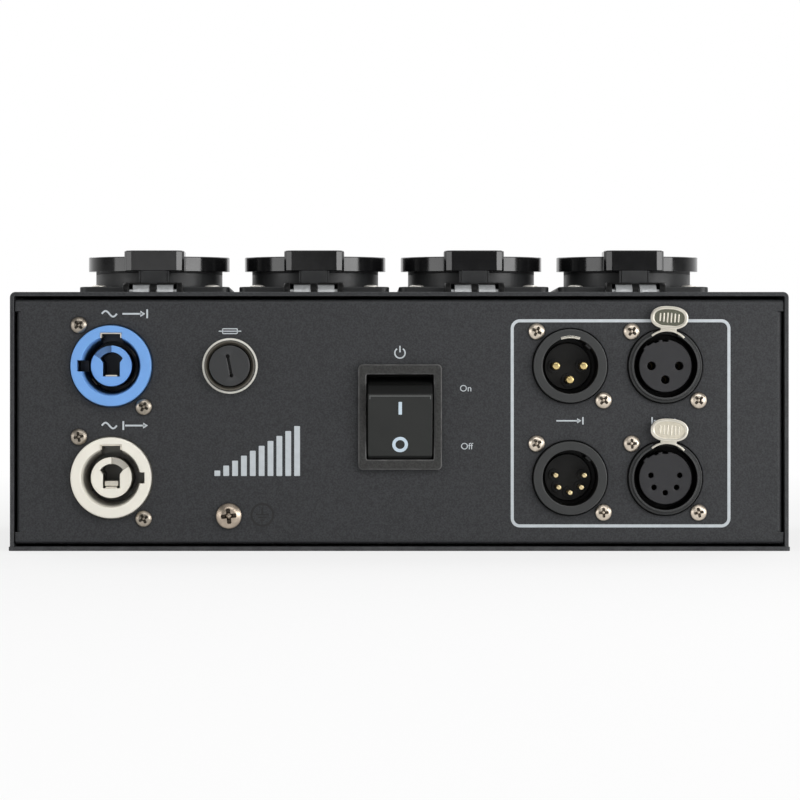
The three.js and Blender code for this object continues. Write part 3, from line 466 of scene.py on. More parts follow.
def finish(name, levels, roughness, metallic=0.0, mottle=0.06, mottle_size=9, speck=0.0, speck_size=0.5,
           grain=0.0, grain_size=0.6, gloss=0.05, edge_wear_and_highlight=0.0, painted_shade_depths=None, high=None, stretch=None, **sockets):
    """A surface whose colour, gloss and relief vary, with lighter edges: edge wear, and where the share is
    large a painted edge highlight. The depths are two heights over the connector panel, between which painted
    shade darkens the colour, and how much. Over the height high painted shade darkens it too."""
    colour = linear(levels)
    # The near-black that painted shade blends towards.
    dark = shade(colour, 0.02)
    material = bpy.data.materials.new(name)
    material.use_nodes = True
    tree = material.node_tree
    shader = tree.nodes["Principled BSDF"]
    base = blended(tree, spread(tree, noise(tree, mottle_size, 4.0, stretch), 0, 1),
                   shade(colour, 1 - mottle), shade(colour, 1 + mottle))
    if speck:
        dots = spread(tree, noise(tree, speck_size, 1.0), 0, 1, 0.35, 0.65)
        base = blended(tree, speck, base, blended(tree, dots, shade(colour, 0.35), shade(colour, 2.2)))
    # Lighter outer edges: wear where the share is small, a painted edge highlight where it is large, as on
    # the switch bezel.
    if edge_wear_and_highlight:
        rim = node(tree, "ShaderNodeAttribute", attribute_name="rim").outputs["Fac"]
        patchy = spread(tree, noise(tree, 3, 3.0), edge_wear_and_highlight * 0.2, edge_wear_and_highlight)
        rubbed_or_lit_edge = shade([c * 0.5 + 0.12 for c in colour], 1)
        base = blended(tree, combined(tree, "MULTIPLY", rim, patchy), base, rubbed_or_lit_edge)
    # Painted shade: darker the deeper a point lies behind the connector panel, as in bores and recesses.
    if painted_shade_depths:
        start, end = [(PANEL_Y - height) * MM for height in painted_shade_depths[:2]]
        base = blended(tree, spread(tree, place_along(tree, "Y"), 0, painted_shade_depths[2], start, end), base, dark)
    # Painted shade above a height, as on the rocker's upper end.
    if high:
        start, end = high * MM, (high + 0.25) * MM
        base = blended(tree, spread(tree, place_along(tree, "Z"), 0, 0.75, start, end), base, dark)
    tree.links.new(base, shader.inputs["Base Color"])
    tree.links.new(spread(tree, noise(tree, 4, 3.0, stretch), roughness - gloss, roughness + gloss),
                   shader.inputs["Roughness"])
    shader.inputs["Metallic"].default_value = metallic
    for key, value in sockets.items():
        shader.inputs[key.replace("_", " ")].default_value = value
    if grain:
        height = noise(tree, grain_size, 2.0, stretch)
        bump = node(tree, "ShaderNodeBump", {"Height": height, "Strength": 0.6, "Distance": grain * MM})
        tree.links.new(bump.outputs["Normal"], shader.inputs["Normal"])
    return material


# Height over which the rocker's upper end is painted dark: painted shade.
ROCKER_SHADE_HEIGHT = middle("switch_housing").z + 6.6
# Heights between which pins and their carriers darken: painted shade.
PIN_SHADE_DEPTHS = (-2, -8, 0.94)
SCREW_METAL = {"gloss": 0.08, "grain": 0.012}

POWDER = finish("powder_coat", (45, 46, 48), 0.5, speck=0.3, speck_size=0.45, grain=0.09, grain_size=0.5,
                mottle=0.10, mottle_size=2.4, edge_wear_and_highlight=0.25, Specular_IOR_Level=0.33)
GLOSS = finish("gloss_black", (20, 20, 21), 0.13, grain=0.004, grain_size=3, gloss=0.03, edge_wear_and_highlight=0.06)
MOULDED = finish("moulded_black", (41, 42, 43), 0.42, grain=0.03, grain_size=0.4, edge_wear_and_highlight=0.12,
                 Specular_IOR_Level=0.4)
# The blue and white bodies darken inside their bores: painted shade.
BLUE = finish("power_blue", (112, 162, 224), 0.4, grain=0.02, mottle=0.04, edge_wear_and_highlight=0.05,
              painted_shade_depths=(0.5, -1.8, 0.92))
WHITE = finish("power_white", (234, 230, 218), 0.36, grain=0.02, mottle=0.03, painted_shade_depths=(0.5, -1.4, 0.62))
# Data shells, inserts and carriers darken deeper in: painted shade.
SHELL = finish("connector_shell", (56, 57, 57), 0.46, metallic=0.2, grain=0.025, grain_size=0.35, edge_wear_and_highlight=0.25,
               painted_shade_depths=(1.95, 0.2, 0.94), Specular_IOR_Level=0.35)
INSERT = finish("contact_insert", (46, 46, 48), 0.5, grain=0.02, grain_size=0.5, painted_shade_depths=(0.5, -1.2, 0.94),
                Specular_IOR_Level=0.3)
CARRIER = finish("contact_carrier", (12, 12, 12), 0.5, grain=0.02, painted_shade_depths=PIN_SHADE_DEPTHS)
NICKEL = finish("nickel", (214, 202, 188), 0.3, metallic=1.0, mottle=0.10, mottle_size=2, gloss=0.08,
                grain=0.01, grain_size=0.5)
# The screws darken in their cross recesses: painted shade.
SCREW = finish("screw_nickel", (218, 206, 190), 0.38, metallic=1.0, mottle=0.12, mottle_size=1.2,
               grain_size=0.4, painted_shade_depths=(0.95, 0.5, 0.82), **SCREW_METAL)
DULL_SCREW = finish("screw_dull", (166, 157, 144), 0.4, metallic=1.0, mottle=0.2, mottle_size=1.0,
                    grain_size=0.4, painted_shade_depths=(0.95, 0.5, 0.76), **SCREW_METAL)
EARTH_SCREW = finish("screw_earth", (186, 172, 156), 0.42, metallic=1.0, mottle=0.14, mottle_size=1.6,
                     grain_size=0.5, painted_shade_depths=(1.4, 0.7, 0.85), **SCREW_METAL)
TOP_SCREW = finish("screw_top", (224, 221, 214), 0.42, metallic=0.7, mottle=0.12, mottle_size=1.2,
                   grain_size=0.5, **SCREW_METAL)
# The contacts darken deeper in: painted shade.
CONTACT = finish("contact_metal", (232, 226, 212), 0.36, metallic=0.8, mottle=0.08, mottle_size=1.5,
                 painted_shade_depths=(0.0, -6, 0.9))
SPRING = finish("spring_zinc", (196, 198, 199), 0.42, metallic=0.6, mottle=0.08, mottle_size=1.2)
LATCH = finish("latch_nickel", (226, 221, 208), 0.32, metallic=1.0, mottle=0.06, mottle_size=3, gloss=0.06,
               grain=0.01, grain_size=0.4)
FIELD = {3: finish("latch_field_dark", (96, 97, 84), 0.45, metallic=0.6, mottle=0.12, mottle_size=1),
         5: finish("latch_field_pale", (228, 221, 203), 0.36, metallic=1.0, mottle=0.06, mottle_size=1)}
# Pins darken towards their roots: painted shade.
GOLD = {count: finish(name, levels, 0.34, metallic=1.0, mottle=0.08, mottle_size=1.5, painted_shade_depths=PIN_SHADE_DEPTHS)
        for count, name, levels in ((3, "gold", (226, 202, 142)), (5, "pale_gold", (234, 214, 168)))}
BRASS = finish("brass", (196, 160, 92), 0.3, metallic=1.0, mottle=0.1, mottle_size=2)
# The rocker darkens above the ridge height: painted shade on its sloped upper end.
ROCKER = finish("rocker_black", (50, 51, 50), 0.5, grain=0.008, grain_size=1.2, high=ROCKER_SHADE_HEIGHT,
                Specular_IOR_Level=0.12)
# A lighter colour for the rocker's ridge line and corners: painted highlight.
RIDGE = finish("rocker_ridge_highlight", (86, 88, 87), 0.45, grain=0.01, grain_size=0.8)
# A darker, duller black for the lid's hood and the socket's knuckle than their own plastic: painted shade.
HOOD = finish("hood_painted_shade", (12, 12, 12), 0.5, grain=0.01, edge_wear_and_highlight=0.2, Specular_IOR_Level=0.2)
# The fuse cap darkens below its face, in its slot and on its side: painted shade.
FUSE = finish("fuse_black", (50, 51, 52), 0.46, grain=0.02, edge_wear_and_highlight=0.15, painted_shade_depths=(2.6, 2.0, 0.85),
              Specular_IOR_Level=0.4)
PLAIN_BLACK = finish("plain_black", (34, 35, 36), 0.45, grain=0.02, edge_wear_and_highlight=0.15)
# The fuse bezel darkens down its inner slope and in the gap round the cap: painted shade.
FUSE_RING = finish("fuse_bezel", (84, 80, 72), 0.5, grain=0.02, edge_wear_and_highlight=0.15, painted_shade_depths=(1.4, 0.8, 0.94),
                   Specular_IOR_Level=0.35)
RUBBER = finish("gasket_rubber", (36, 36, 37), 0.6, grain=0.04)
PRINT = finish("white_print", (187, 193, 197), 0.5, mottle=0.05, mottle_size=1.5, grain=0.01)
WARM_PRINT = finish("ring_print", (226, 224, 215), 0.5, mottle=0.05, mottle_size=1.5, grain=0.01)
# Near-black strokes for the stamped earth sign: painted shade in its grooves.
STAMP_SHADE = finish("stamp_painted_shade", (22, 22, 22), 0.6, mottle=0.1, mottle_size=1.5, grain=0.01)
MARK = finish("switch_print", (196, 212, 224), 0.45, mottle=0.04, mottle_size=1.0, grain=0.01)
# The switch frame darkens inside its window, painted shade, and its large edge share paints a highlight along
# its rims.
BEZEL_BLACK = finish("switch_black", (46, 46, 45), 0.5, speck=0.3, speck_size=0.5, grain=0.03,
                     grain_size=0.4, edge_wear_and_highlight=0.8, painted_shade_depths=(0.5, -4, 0.94), Specular_IOR_Level=0.35)
BUTTON = finish("button_black", (36, 36, 37), 0.42, grain=0.02, edge_wear_and_highlight=0.15)
LENS = finish("smoked_lens", (26, 10, 10), 0.08, mottle=0.15, mottle_size=6, gloss=0.02, Coat_Weight=0.6)
BOARD = finish("board_green", (28, 82, 52), 0.45, mottle=0.18, mottle_size=4, speck=0.25, speck_size=1.6,
               grain=0.03)
SINK = finish("sink_aluminium", (168, 170, 172), 0.36, metallic=1.0, grain=0.02, stretch=(1, 8, 8))
COPPER = finish("copper_winding", (176, 104, 58), 0.32, metallic=0.9, grain=0.5, grain_size=1.1,
                stretch=(1, 1, 0.05))
TERMINAL = finish("terminal_plastic", (60, 96, 66), 0.45, grain=0.02)
GLASS = finish("fuse_glass", (214, 220, 218), 0.08, mottle=0.1, mottle_size=3, gloss=0.03)


# Fasteners

HEAD_RADIUS = 2.45
HEAD_HEIGHT = 1.5
CROSS_TAPER = 0.8
FLUSH_HEAD = 2.8
FLUSH_HOLE = 2.95
FLUSH_TILT = 0.3
FLUSH_PROUD = 0.13


def cross(length, width, low, high):
    """The cross recess of a screw, a little narrower at its bottom."""
    parts = []
    for turn in (0, QUARTER):
        way = slab(rounded_rectangle(length, width, width * 0.3), (), low, high, 0)
        for vert in way.verts:
            if vert.co.z < (low + high) / 2:
                vert.co.x *= CROSS_TAPER
                vert.co.y *= CROSS_TAPER
        parts.append(spun(way, turn))
    return parts


def pan_screw(radius=HEAD_RADIUS, height=HEAD_HEIGHT, tilt=QUARTER / 2, shank=1.5, length=7):
    head = turned_round(
        [(0, -length), (shank, -length), (shank, 0), (radius, 0), (radius, height * 0.45),
         (radius * 0.6, height * 0.98), (0, height)],
        [0, 0.1, 0, 0.1, 0.5, 2.4, 0], SMALL_STEPS)
    ways = cross(radius * 1.3, radius * 0.36, height * 0.12, height * 1.4)
    pip = turned([(0, 0), (radius * 0.3, 0), (radius * 0.3, height * 0.2), (0, height * 0.72)], 12)
    return spun(fused(cut(head, *ways), pip), tilt)


def flush_screw():
    head = turned_round([(0, -6), (1.4, -6), (1.4, -1.6), (FLUSH_HEAD, -0.15), (FLUSH_HEAD, 0), (0, 0.12)],
                        [0, 0.1, 0.1, 0.05, 0.05, 0], SMALL_STEPS)
    return spun(cut(head, *cross(FLUSH_HEAD * 1.2, FLUSH_HEAD * 0.26, -1.1, 1)), FLUSH_TILT)


# Box

SHEET = 1.2
SHEET_EDGE = 0.2
COVER_RADIUS = 1.6
COVER_MIDDLE_Y = (COVER_LOW.y + COVER_HIGH.y) / 2
BASE_MIDDLE_Y = (BASE_HIGH.y + BASE_LOW.y) / 2
VENT_LENGTH = 26
VENT_WIDTH = 3
VENT_PITCH = 9
VENT_CORNER = VENT_WIDTH * 0.49
SIDE_VENT_COUNT = 8
SIDE_VENT_HEIGHT = 40
BASE_VENT_COUNT = 9
BASE_VENT_BACK = 6
BASE_LIP_HEIGHT = 12
BASE_LIP_SHORTER = 40
BASE_SCREW_XS = (-98, 0, 98)
BASE_SCREW_INSET = 9.6
BOARD_SCREW_XS = (-91, 91)
BOARD_SCREW_YS = (-33, 59)
LIP_SCREW_HEIGHT = 7.3
LIP_SCREW_YS = (-58, 0, 58)
PANEL_SCREW_HEIGHT = 62
PANEL_SCREW_INSET = 8
BOLT = flush_screw()
OUTLET_COUNT = 4
FLANGE_SIDE = 50
COLLAR_RADIUS = 21.5
OUTLET_XS = [middle(f"socket_body_{i + 1}").x for i in range(OUTLET_COUNT)]
OUTLET_Y = box_of("socket_body_1")[1].y - FLANGE_SIDE / 2


def side_screw_places():
    """Depth and height of the flush screws on each side of the cover."""
    low = [(COVER_MIDDLE_Y + y, LIP_SCREW_HEIGHT) for y in LIP_SCREW_YS]
    reach = COVER_HIGH.y - COVER_MIDDLE_Y - PANEL_SCREW_INSET
    return low + [(COVER_MIDDLE_Y + side * reach, PANEL_SCREW_HEIGHT) for side in (-1, 1)]


def vent_row(count):
    return [(i - (count - 1) / 2) * VENT_PITCH for i in range(count)]


def make_cover():
    width, top = COVER_HIGH.x, COVER_HIGH.z
    at = width - COVER_RADIUS
    past = at + COVER_RADIUS * QUARTER - COVER_RADIUS
    reach = past + top - COVER_LOW.z
    holes = [circle(COLLAR_RADIUS + FIT, x, OUTLET_Y - COVER_MIDDLE_Y) for x in OUTLET_XS]
    for side in (-1, 1):
        x = side * (past + top - SIDE_VENT_HEIGHT)
        holes += [rounded_rectangle(VENT_LENGTH, VENT_WIDTH, VENT_CORNER, x, y)
                  for y in vent_row(SIDE_VENT_COUNT)]
        holes += [circle(FLUSH_HOLE, side * (past + top - z), y - COVER_MIDDLE_Y, SMALL_STEPS)
                  for y, z in side_screw_places()]
    outline = rectangle(2 * reach, COVER_HIGH.y - COVER_LOW.y)
    shell = slab(outline, holes, -SHEET, 0, SHEET_EDGE, margin=SHEET_MARGIN)
    for side in (-1, 1):
        fold(shell, 0, at, side, COVER_RADIUS)
    piece("cover_shell", [shell], TOP @ Matrix.Translation((0, COVER_MIDDLE_Y, 0)), "casing",
          POWDER, ["wrap_cover"])
    bolts = [copied(BOLT, Matrix.Translation((side * width, y, z)) @ Matrix.Rotation(side * QUARTER, 4, "Y"))
             for side in (-1, 1) for y, z in side_screw_places()]
    piece("cover_screws", bolts, Matrix.Identity(4), "casing", PLAIN_BLACK)


def make_base():
    depth, thickness = BASE_HIGH.y - BASE_LOW.y, COVER_LOW.z
    holes = [rounded_rectangle(VENT_WIDTH, VENT_LENGTH, VENT_CORNER, x, BASE_VENT_BACK)
             for x in vent_row(BASE_VENT_COUNT)]
    places = [(x, side * (depth / 2 - BASE_SCREW_INSET)) for x in BASE_SCREW_XS for side in (-1, 1)]
    places += [(x, y) for x in BOARD_SCREW_XS for y in BOARD_SCREW_YS]
    holes += [circle(FLUSH_HOLE, x, y, SMALL_STEPS) for x, y in places]
    outline = rectangle(2 * BASE_HIGH.x, depth)
    parts = [slab(outline, holes, 0, thickness, SHEET_EDGE, margin=SHEET_MARGIN)]
    for side in (-1, 1):
        x = side * (COVER_HIGH.x - SHEET - FIT - SHEET / 2)
        parts.append(slab(rectangle(SHEET, depth - BASE_LIP_SHORTER, x, 0), (), thickness - 0.3,
                          thickness + BASE_LIP_HEIGHT, 0.1))
    piece("base_shell", parts, Matrix.Translation((0, BASE_MIDDLE_Y, 0)), "casing", POWDER,
          ["base_plate"])
    facing = Matrix.Translation((0, BASE_MIDDLE_Y, FLUSH_PROUD)) @ Matrix.Rotation(HALF, 4, "X")
    bolts = [copied(BOLT, Matrix.Translation((x, -y, 0))) for x, y in places]
    piece("base_screws", bolts, facing, "casing", PLAIN_BLACK)


# The panel's lower edge stands a little above the base plate, and only its pads reach down to it.
PANEL_LOW = COVER_LOW.z + 0.75
BEND_RADIUS = 1.4
LIP_DEPTH = 12
LIP_INSET = 0.45
CORNER_HEIGHT = 3.5
RELIEF = 0.07


def folded_panel(node_name, holes):
    """A panel cut flat and folded back on all four edges, its corners left flat and wide."""
    high = box_of(node_name)[1]
    w = high.x
    flap = BEND_RADIUS * QUARTER + LIP_DEPTH - BEND_RADIUS
    bottom, top = PANEL_LOW + BEND_RADIUS, high.z - BEND_RADIUS
    edge = w - LIP_INSET - BEND_RADIUS
    notch_low, notch_high = bottom - BEND_RADIUS + CORNER_HEIGHT, top + BEND_RADIUS - CORNER_HEIGHT
    right = [(w, bottom - flap), (w, notch_low), (edge, notch_low), (edge, notch_low + RELIEF),
             (edge + flap, notch_low + RELIEF), (edge + flap, notch_high - RELIEF),
             (edge, notch_high - RELIEF), (edge, notch_high), (w, notch_high), (w, top + flap)]
    right = [Vector(p) for p in right]
    sheet = slab(right + mirrored(right), holes, -SHEET, 0, SHEET_EDGE, margin=SHEET_MARGIN)
    for side in (-1, 1):
        fold(sheet, 0, edge, side, BEND_RADIUS, lambda co: notch_low < co.y < notch_high)
    fold(sheet, 1, top, 1, BEND_RADIUS)
    fold(sheet, 1, -bottom, -1, BEND_RADIUS)
    return sheet


# Power connectors

# Just behind the back of a panel, where flanges and nuts begin
BEHIND = -1.3
FLANGE_BACK = -3.2
POWER_RING = 11.85
POWER_REACH = 2.4
POWER_HOLE = 12.2
POWER_BORE = 8.7
POWER_BORE_DEEP = 7.45
POWER_DEPTH = 14
POWER_BACK = -23
POWER_NOTCH = 6.4
POWER_NOTCH_DEPTH = 1.7
POWER_CORE = 6.0
POWER_CORE_REACH = 0.6
POWER_CORE_STEP = -0.8
CORE_HALF = 2.5
CORE_FOOT = -3.1
CORE_SHOULDER = 1.0
CORE_HEAD = 4.0
CORE_HEAD_START = math.radians(33)
CORE_HEAD_END = math.radians(147)
LINER_THICK = 0.42


def blade(low, high, x=0, y=0):
    """A flat tab that takes a wire's connector."""
    return slab(rectangle(6.3, 0.8, x, y), (), low, high, 0.2)


def core_foot(hand):
    """The square foot of the opening in the core, from its shoulder on one side to the other."""
    corners = ((-CORE_HALF, CORE_SHOULDER), (-CORE_HALF, CORE_FOOT), (CORE_HALF, CORE_FOOT),
               (CORE_HALF, CORE_SHOULDER))
    return [Vector(p) for p in corners[::hand]]


def core_hole():
    """The opening in the core: a square way with a curved, wider head."""
    return core_foot(1) + arc(CORE_HEAD, CORE_HEAD_START, CORE_HEAD_END, 16)


def core_crown():
    """The raised part of the core's face, which leaves a low sector beside the head of its opening."""
    rim = arc(POWER_CORE, CORE_HEAD_END, TURN + QUARTER, 80)
    head = arc(CORE_HEAD, QUARTER, CORE_HEAD_START, 8)
    return rim + head + core_foot(-1) + arc(CORE_HEAD, CORE_HEAD_END, CORE_HEAD_END, 1)[:1]


def notch_liner():
    """The bent earth contact that lines the notch at the top of the bore."""
    half, thick = POWER_NOTCH / 2 - 0.06, LINER_THICK
    high = POWER_BORE + POWER_NOTCH_DEPTH - 0.62
    low = high - 1.6
    points = [(-half, low), (-half + thick, low), (-half + thick, high - thick),
              (half - thick, high - thick), (half - thick, low), (half, low), (half, high), (-half, high)]
    return slab([Vector(p) for p in points], (), -8, POWER_REACH - 0.4, 0.1)


def make_power(node_name, hand, material):
    """hand is -1 where the key slot is on the left, 1 where it is on the right."""
    seat = seat_on(FRONT, node_name)
    ring = turned_round(
        [(POWER_BORE_DEEP, -POWER_DEPTH), (POWER_RING, -POWER_DEPTH), (POWER_RING, POWER_REACH),
         (POWER_BORE, POWER_REACH), (POWER_BORE - 0.1, 0.6), (POWER_BORE_DEEP, -5)], [0, 0, 0.4, 0.3, 0.3, 0])
    notch = rectangle(POWER_NOTCH, 5, 0, POWER_BORE + POWER_NOTCH_DEPTH - 3.1)
    key = slab(rectangle(4, 3.3, 7.9, 0), (), -9, POWER_REACH + 1, 0)
    ring = cut(ring, slab(notch, (), -9, POWER_REACH + 1, 0), spun(key, HALF if hand < 0 else 0))
    back = rod(11.2, POWER_BACK, 0.5 - POWER_DEPTH, 0.4, ROUND_STEPS)
    flange = slab(rounded_rectangle(26, 31, 3), [circle(11)], FLANGE_BACK, BEHIND, 0.2)
    core = [rounded(core_hole(), 0.2, 3)]
    lower = slab(circle(POWER_CORE), core, -POWER_DEPTH - 0.2, POWER_CORE_STEP, 0.15)
    crown = core_crown() if hand < 0 else mirrored(core_crown())
    upper = slab(crown, (), POWER_CORE_STEP - 0.3, POWER_CORE_REACH, 0.25, 0)
    body = fused(ring, back, flange, lower, upper)
    piece(f"{node_name}_body", [body], seat, "casing", material, [node_name])
    metal = [slab(rectangle(3.4, 0.45, 0, CORE_FOOT + 0.25), (), -9, 0.2, 0.08), notch_liner()]
    if hand > 0:
        metal.append(slab(rectangle(4.0, 1.5, 0, CORE_FOOT + 1.4), (), -9, -0.4, 0.15))
    for angle in (-0.5, 0.6, HALF + 0.7):
        metal.append(spun(slab(rectangle(0.4, 2.6, POWER_BORE_DEEP - 0.25, 0), (), -13, -6, 0.1), angle))
    metal += [spun(blade(POWER_BACK - 8, POWER_BACK + 0.4, 0, 6), angle) for angle in (-QUARTER, 0, QUARTER)]
    piece(f"{node_name}_contacts", metal, seat, "casing", CONTACT)


# Data connectors

DATA_RING = 10.78
DATA_HOLE = 11.12
DATA_REACH = 2.0
MALE_BORE = 8.15
MALE_FLOOR = -10.5
FEMALE_BORE = 9.35
FEMALE_FLOOR = -10.0
INSERT_RADIUS = 7.7
INSERT_REACH = 0.8
THREE_CIRCLE = 4.06
FIVE_CIRCLE = 4.3
FIVE_STEP = 0.88
PIN_RADIUS = {3: 1.2, 5: 0.75}
PIN_TIP = 1.0


def pin_places(count):
    if count == 3:
        return [Vector(p) for p in ((-THREE_CIRCLE, 0), (0, -THREE_CIRCLE), (THREE_CIRCLE, 0))]
    angles = [-QUARTER + i * FIVE_STEP for i in range(-2, 3)]
    return [FIVE_CIRCLE * Vector((math.cos(a), math.sin(a))) for a in angles]


def at_pins(count, make):
    """One new shape at each pin's place."""
    return [moved(make(), p.x, p.y) for p in pin_places(count)]


def data_back():
    """The round body and the square flange behind the panel."""
    return [rod(10.4, -20.2, MALE_FLOOR, 0.4, ROUND_STEPS),
            slab(rounded_rectangle(26, 27, 3), [circle(10.2)], FLANGE_BACK, BEHIND, 0.2)]


def make_male(count):
    node_name, radius = f"data_in_{count}pin", PIN_RADIUS[count]
    seat = seat_on(FRONT, node_name)
    ring = slab(circle(DATA_RING), [circle(MALE_BORE)], MALE_FLOOR - 0.5, DATA_REACH, 0.35)
    key = spun(slab(rectangle(1.5, 1.9, MALE_BORE, 0), (), MALE_FLOOR - 0.3, 0.9, 0.2), QUARTER - 0.75)
    piece(f"{node_name}_body", [fused(ring, key, *data_back())], seat, "casing", SHELL,
          [node_name])
    pins = at_pins(count, lambda: rod(radius, MALE_FLOOR - 8, PIN_TIP, radius * 0.9))
    piece(f"{node_name}_pins", pins, seat, "casing", GOLD[count], [f"{node_name}_contacts"])
    carrier = rod(7.0, MALE_FLOOR - 0.2, MALE_FLOOR + 1.6, 0.3, ROUND_STEPS)
    collars = at_pins(count, lambda: turned_round(
        [(radius, MALE_FLOOR), (radius + 0.8, MALE_FLOOR), (radius + 0.7, MALE_FLOOR + 2.4),
         (radius, MALE_FLOOR + 2.4)], 0.0, SMALL_STEPS))
    piece(f"{node_name}_carrier", [carrier] + collars, seat, "casing", CARRIER)
    if count == 3:
        start, end = math.radians(71), math.radians(109)
        outline = arc(8.85, start, end, 16) + arc(8.1, end, start, 16)
        strike = slab(outline, (), -4, DATA_REACH + 0.03, 0.08)
        piece(f"{node_name}_strike", [strike], seat, "casing", LATCH)


def make_female(count):
    node_name, radius = f"data_out_{count}pin", PIN_RADIUS[count]
    seat = seat_on(FRONT, node_name)
    ring = turned_round(
        [(FEMALE_BORE, FEMALE_FLOOR - 1), (DATA_RING, FEMALE_FLOOR - 1), (DATA_RING, DATA_REACH - 0.6),
         (FEMALE_BORE + 0.75, DATA_REACH - 0.6), (FEMALE_BORE + 0.6, DATA_REACH), (FEMALE_BORE, DATA_REACH)],
        [0, 0, 0.3, 0.1, 0.2, 0.2])
    way = slab(rectangle(7.2, 3, 0, FEMALE_BORE + 0.2), (), -3, DATA_REACH + 1, 0)
    body = fused(cut(ring, way), *data_back())
    piece(f"{node_name}_body", [body], seat, "casing", SHELL, [node_name])
    outline = notched_circle(INSERT_RADIUS, [(QUARTER, 1.7, -0.55), (QUARTER + 0.35, 1.2, -0.4),
                                             (math.radians(137), 1.6, 0.5)])
    holes = [circle(radius + 0.04, p.x, p.y, SMALL_STEPS) for p in pin_places(count)]
    insert = slab(outline, holes, FEMALE_FLOOR - 0.5, INSERT_REACH, 0.25)
    own_node = f"{node_name}_insert"
    piece(f"{node_name}_block", [insert], seat, "casing", INSERT,
          [own_node] if own_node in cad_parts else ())
    sleeves = at_pins(count, lambda: tube(radius * 0.8, radius, -10, -8))
    piece(f"{node_name}_sleeves", sleeves, seat, "casing", GOLD[count])


LATCH_Z = DATA_REACH + FIT
LATCH_RISE = 14.1
LATCH_SIZE = (11.0, 6.8)
LATCH_FIELD = (8.9, 4.9)
LATCH_TURN = math.radians(-4)
LATCH_RIBS = (-2.7, -1.62, -0.54, 0.54, 1.62, 2.7)
WING_HALF = math.radians(43)
WING_Y = 3.4


def make_latch(count):
    """A pressed lever: a rimmed oval with a ribbed field, a neck, and two wings that follow the ring."""
    seat = seat_on(FRONT, f"data_out_{count}pin") @ Matrix.Rotation(LATCH_TURN, 4, "Z")
    body, front = f"latch_{count}pin", LATCH_Z
    outline, field = oval(*LATCH_SIZE, 0, LATCH_RISE), oval(*LATCH_FIELD, 0, LATCH_RISE)
    plate = slab(outline, (), front, front + 0.4, 0.12)
    rim = slab(outline, [field], front + 0.2, front + 0.85, 0.2)
    neck = slab(rectangle(4.7, 1.8, 0, 10.95), (), front, front + 0.55, 0.12)
    start, end = QUARTER - WING_HALF, QUARTER + WING_HALF
    wings = slab(arc(7.25, start, end, 24, 0, WING_Y) + arc(6.65, end, start, 24, 0, WING_Y), (), front,
                 front + 0.6, 0.12)
    tongue = slab(rectangle(3.4, 0.6, 0, 10.3), (), front - 5.5, front + 0.3, 0.12)
    lever = fused(plate, rim, neck, wings, tongue)
    ribs = [slab(rounded_rectangle(0.42, 3.1 - abs(x) * 0.25, 0.2, x, LATCH_RISE), (), front + 0.2,
                 front + 0.7, 0.12) for x in LATCH_RIBS]
    piece(f"latch_lever_{count}pin", [lever] + ribs, seat, body, LATCH, [f"push_latch_{count}pin"])
    inner = oval(LATCH_FIELD[0] + 0.3, LATCH_FIELD[1] + 0.3, 0, LATCH_RISE)
    piece(f"latch_field_{count}pin", [slab(inner, (), front + 0.2, front + 0.5, 0.05)], seat, body,
          FIELD[count])


# Screws of the connectors

CONNECTORS = ["power_inlet", "power_outlet", "data_in_3pin", "data_in_5pin", "data_out_3pin", "data_out_5pin"]
SCREW_TILTS = (0.75, 0.2, 1.1, 0.5, 0.9, 0.05)


def make_connector_screws():
    for i, connector in enumerate(CONNECTORS):
        metal = DULL_SCREW if connector.startswith("power") else SCREW
        for j, side in enumerate(("left", "right")):
            name = f"{connector}_screw_{side}"
            screw = pan_screw(tilt=SCREW_TILTS[(i + 2 * j) % len(SCREW_TILTS)])
            piece(f"{name}_cross", [screw], seat_on(FRONT, name), "casing", metal, [name])


# Fuse

FUSE_CAP = 5.95
FUSE_CAP_REACH = 3.2
FUSE_BEZEL = 7.3
FUSE_BEZEL_REACH = 2.6
FUSE_BACK = -38
SLOT_TILT = 0.19


def make_fuse():
    seat = seat_on(FRONT, "fuse_cap")
    holder = turned_round(
        [(0, FUSE_BACK), (6.2, FUSE_BACK), (6.2, 0), (FUSE_BEZEL, 0), (FUSE_BEZEL, FUSE_BEZEL_REACH),
         (FUSE_CAP + 0.95, FUSE_BEZEL_REACH), (FUSE_CAP + FIT, 1.5), (FUSE_CAP + FIT, 0.3), (5.1, 0.3),
         (5.1, FUSE_BACK + 1.6), (0, FUSE_BACK + 1.6)],
        [0, 0.4, 0, 0.1, 0.5, 0.2, 0.1, 0, 0.2, 0, 0])
    nut = slab(circle(9, steps=6), [circle(6)], -4.2, BEHIND, 0.3)
    piece("fuse_holder_body", [fused(holder, nut), blade(FUSE_BACK - 8, FUSE_BACK + 0.5)], seat, "casing",
          FUSE_RING, ["fuse_holder"])
    stem = turned_round([(0, -1.5), (4.7, -1.5), (4.7, 0.6), (FUSE_CAP, 0.6), (FUSE_CAP, 1.9), (0, 1.9)],
                        [0, 0, 0, 0.1, 0, 0])
    grip = turned_round([(4.7, -11), (4.7, -1), (3.45, -1), (3.45, -11)], 0)
    face = slab(circle(FUSE_CAP), [rounded_rectangle(0.72, 5.7, 0.34)], 1.6, FUSE_CAP_REACH, 0.35, 0)
    dots = [moved(rod(0.6, 1.2, 5, 0), 0, side * 2.87) for side in (-1, 1)]
    cap = spun(cut(fused(stem, face, grip), *dots), SLOT_TILT)
    piece("fuse_cap_slotted", [cap], seat, "fuse_cap", FUSE, ["fuse_cap"])
    glass = rod(2.9, -29, -6, 0.2, ROUND_STEPS)
    piece("fuse_glass_tube", [glass], seat, "fuse_carrier", GLASS, ["fuse_link"])
    caps = [rod(3.15, low, low + 6, 0.3, ROUND_STEPS) for low in (-33.8, -7.8)]
    piece("fuse_end_caps", caps, seat, "fuse_carrier", NICKEL)


# Power switch

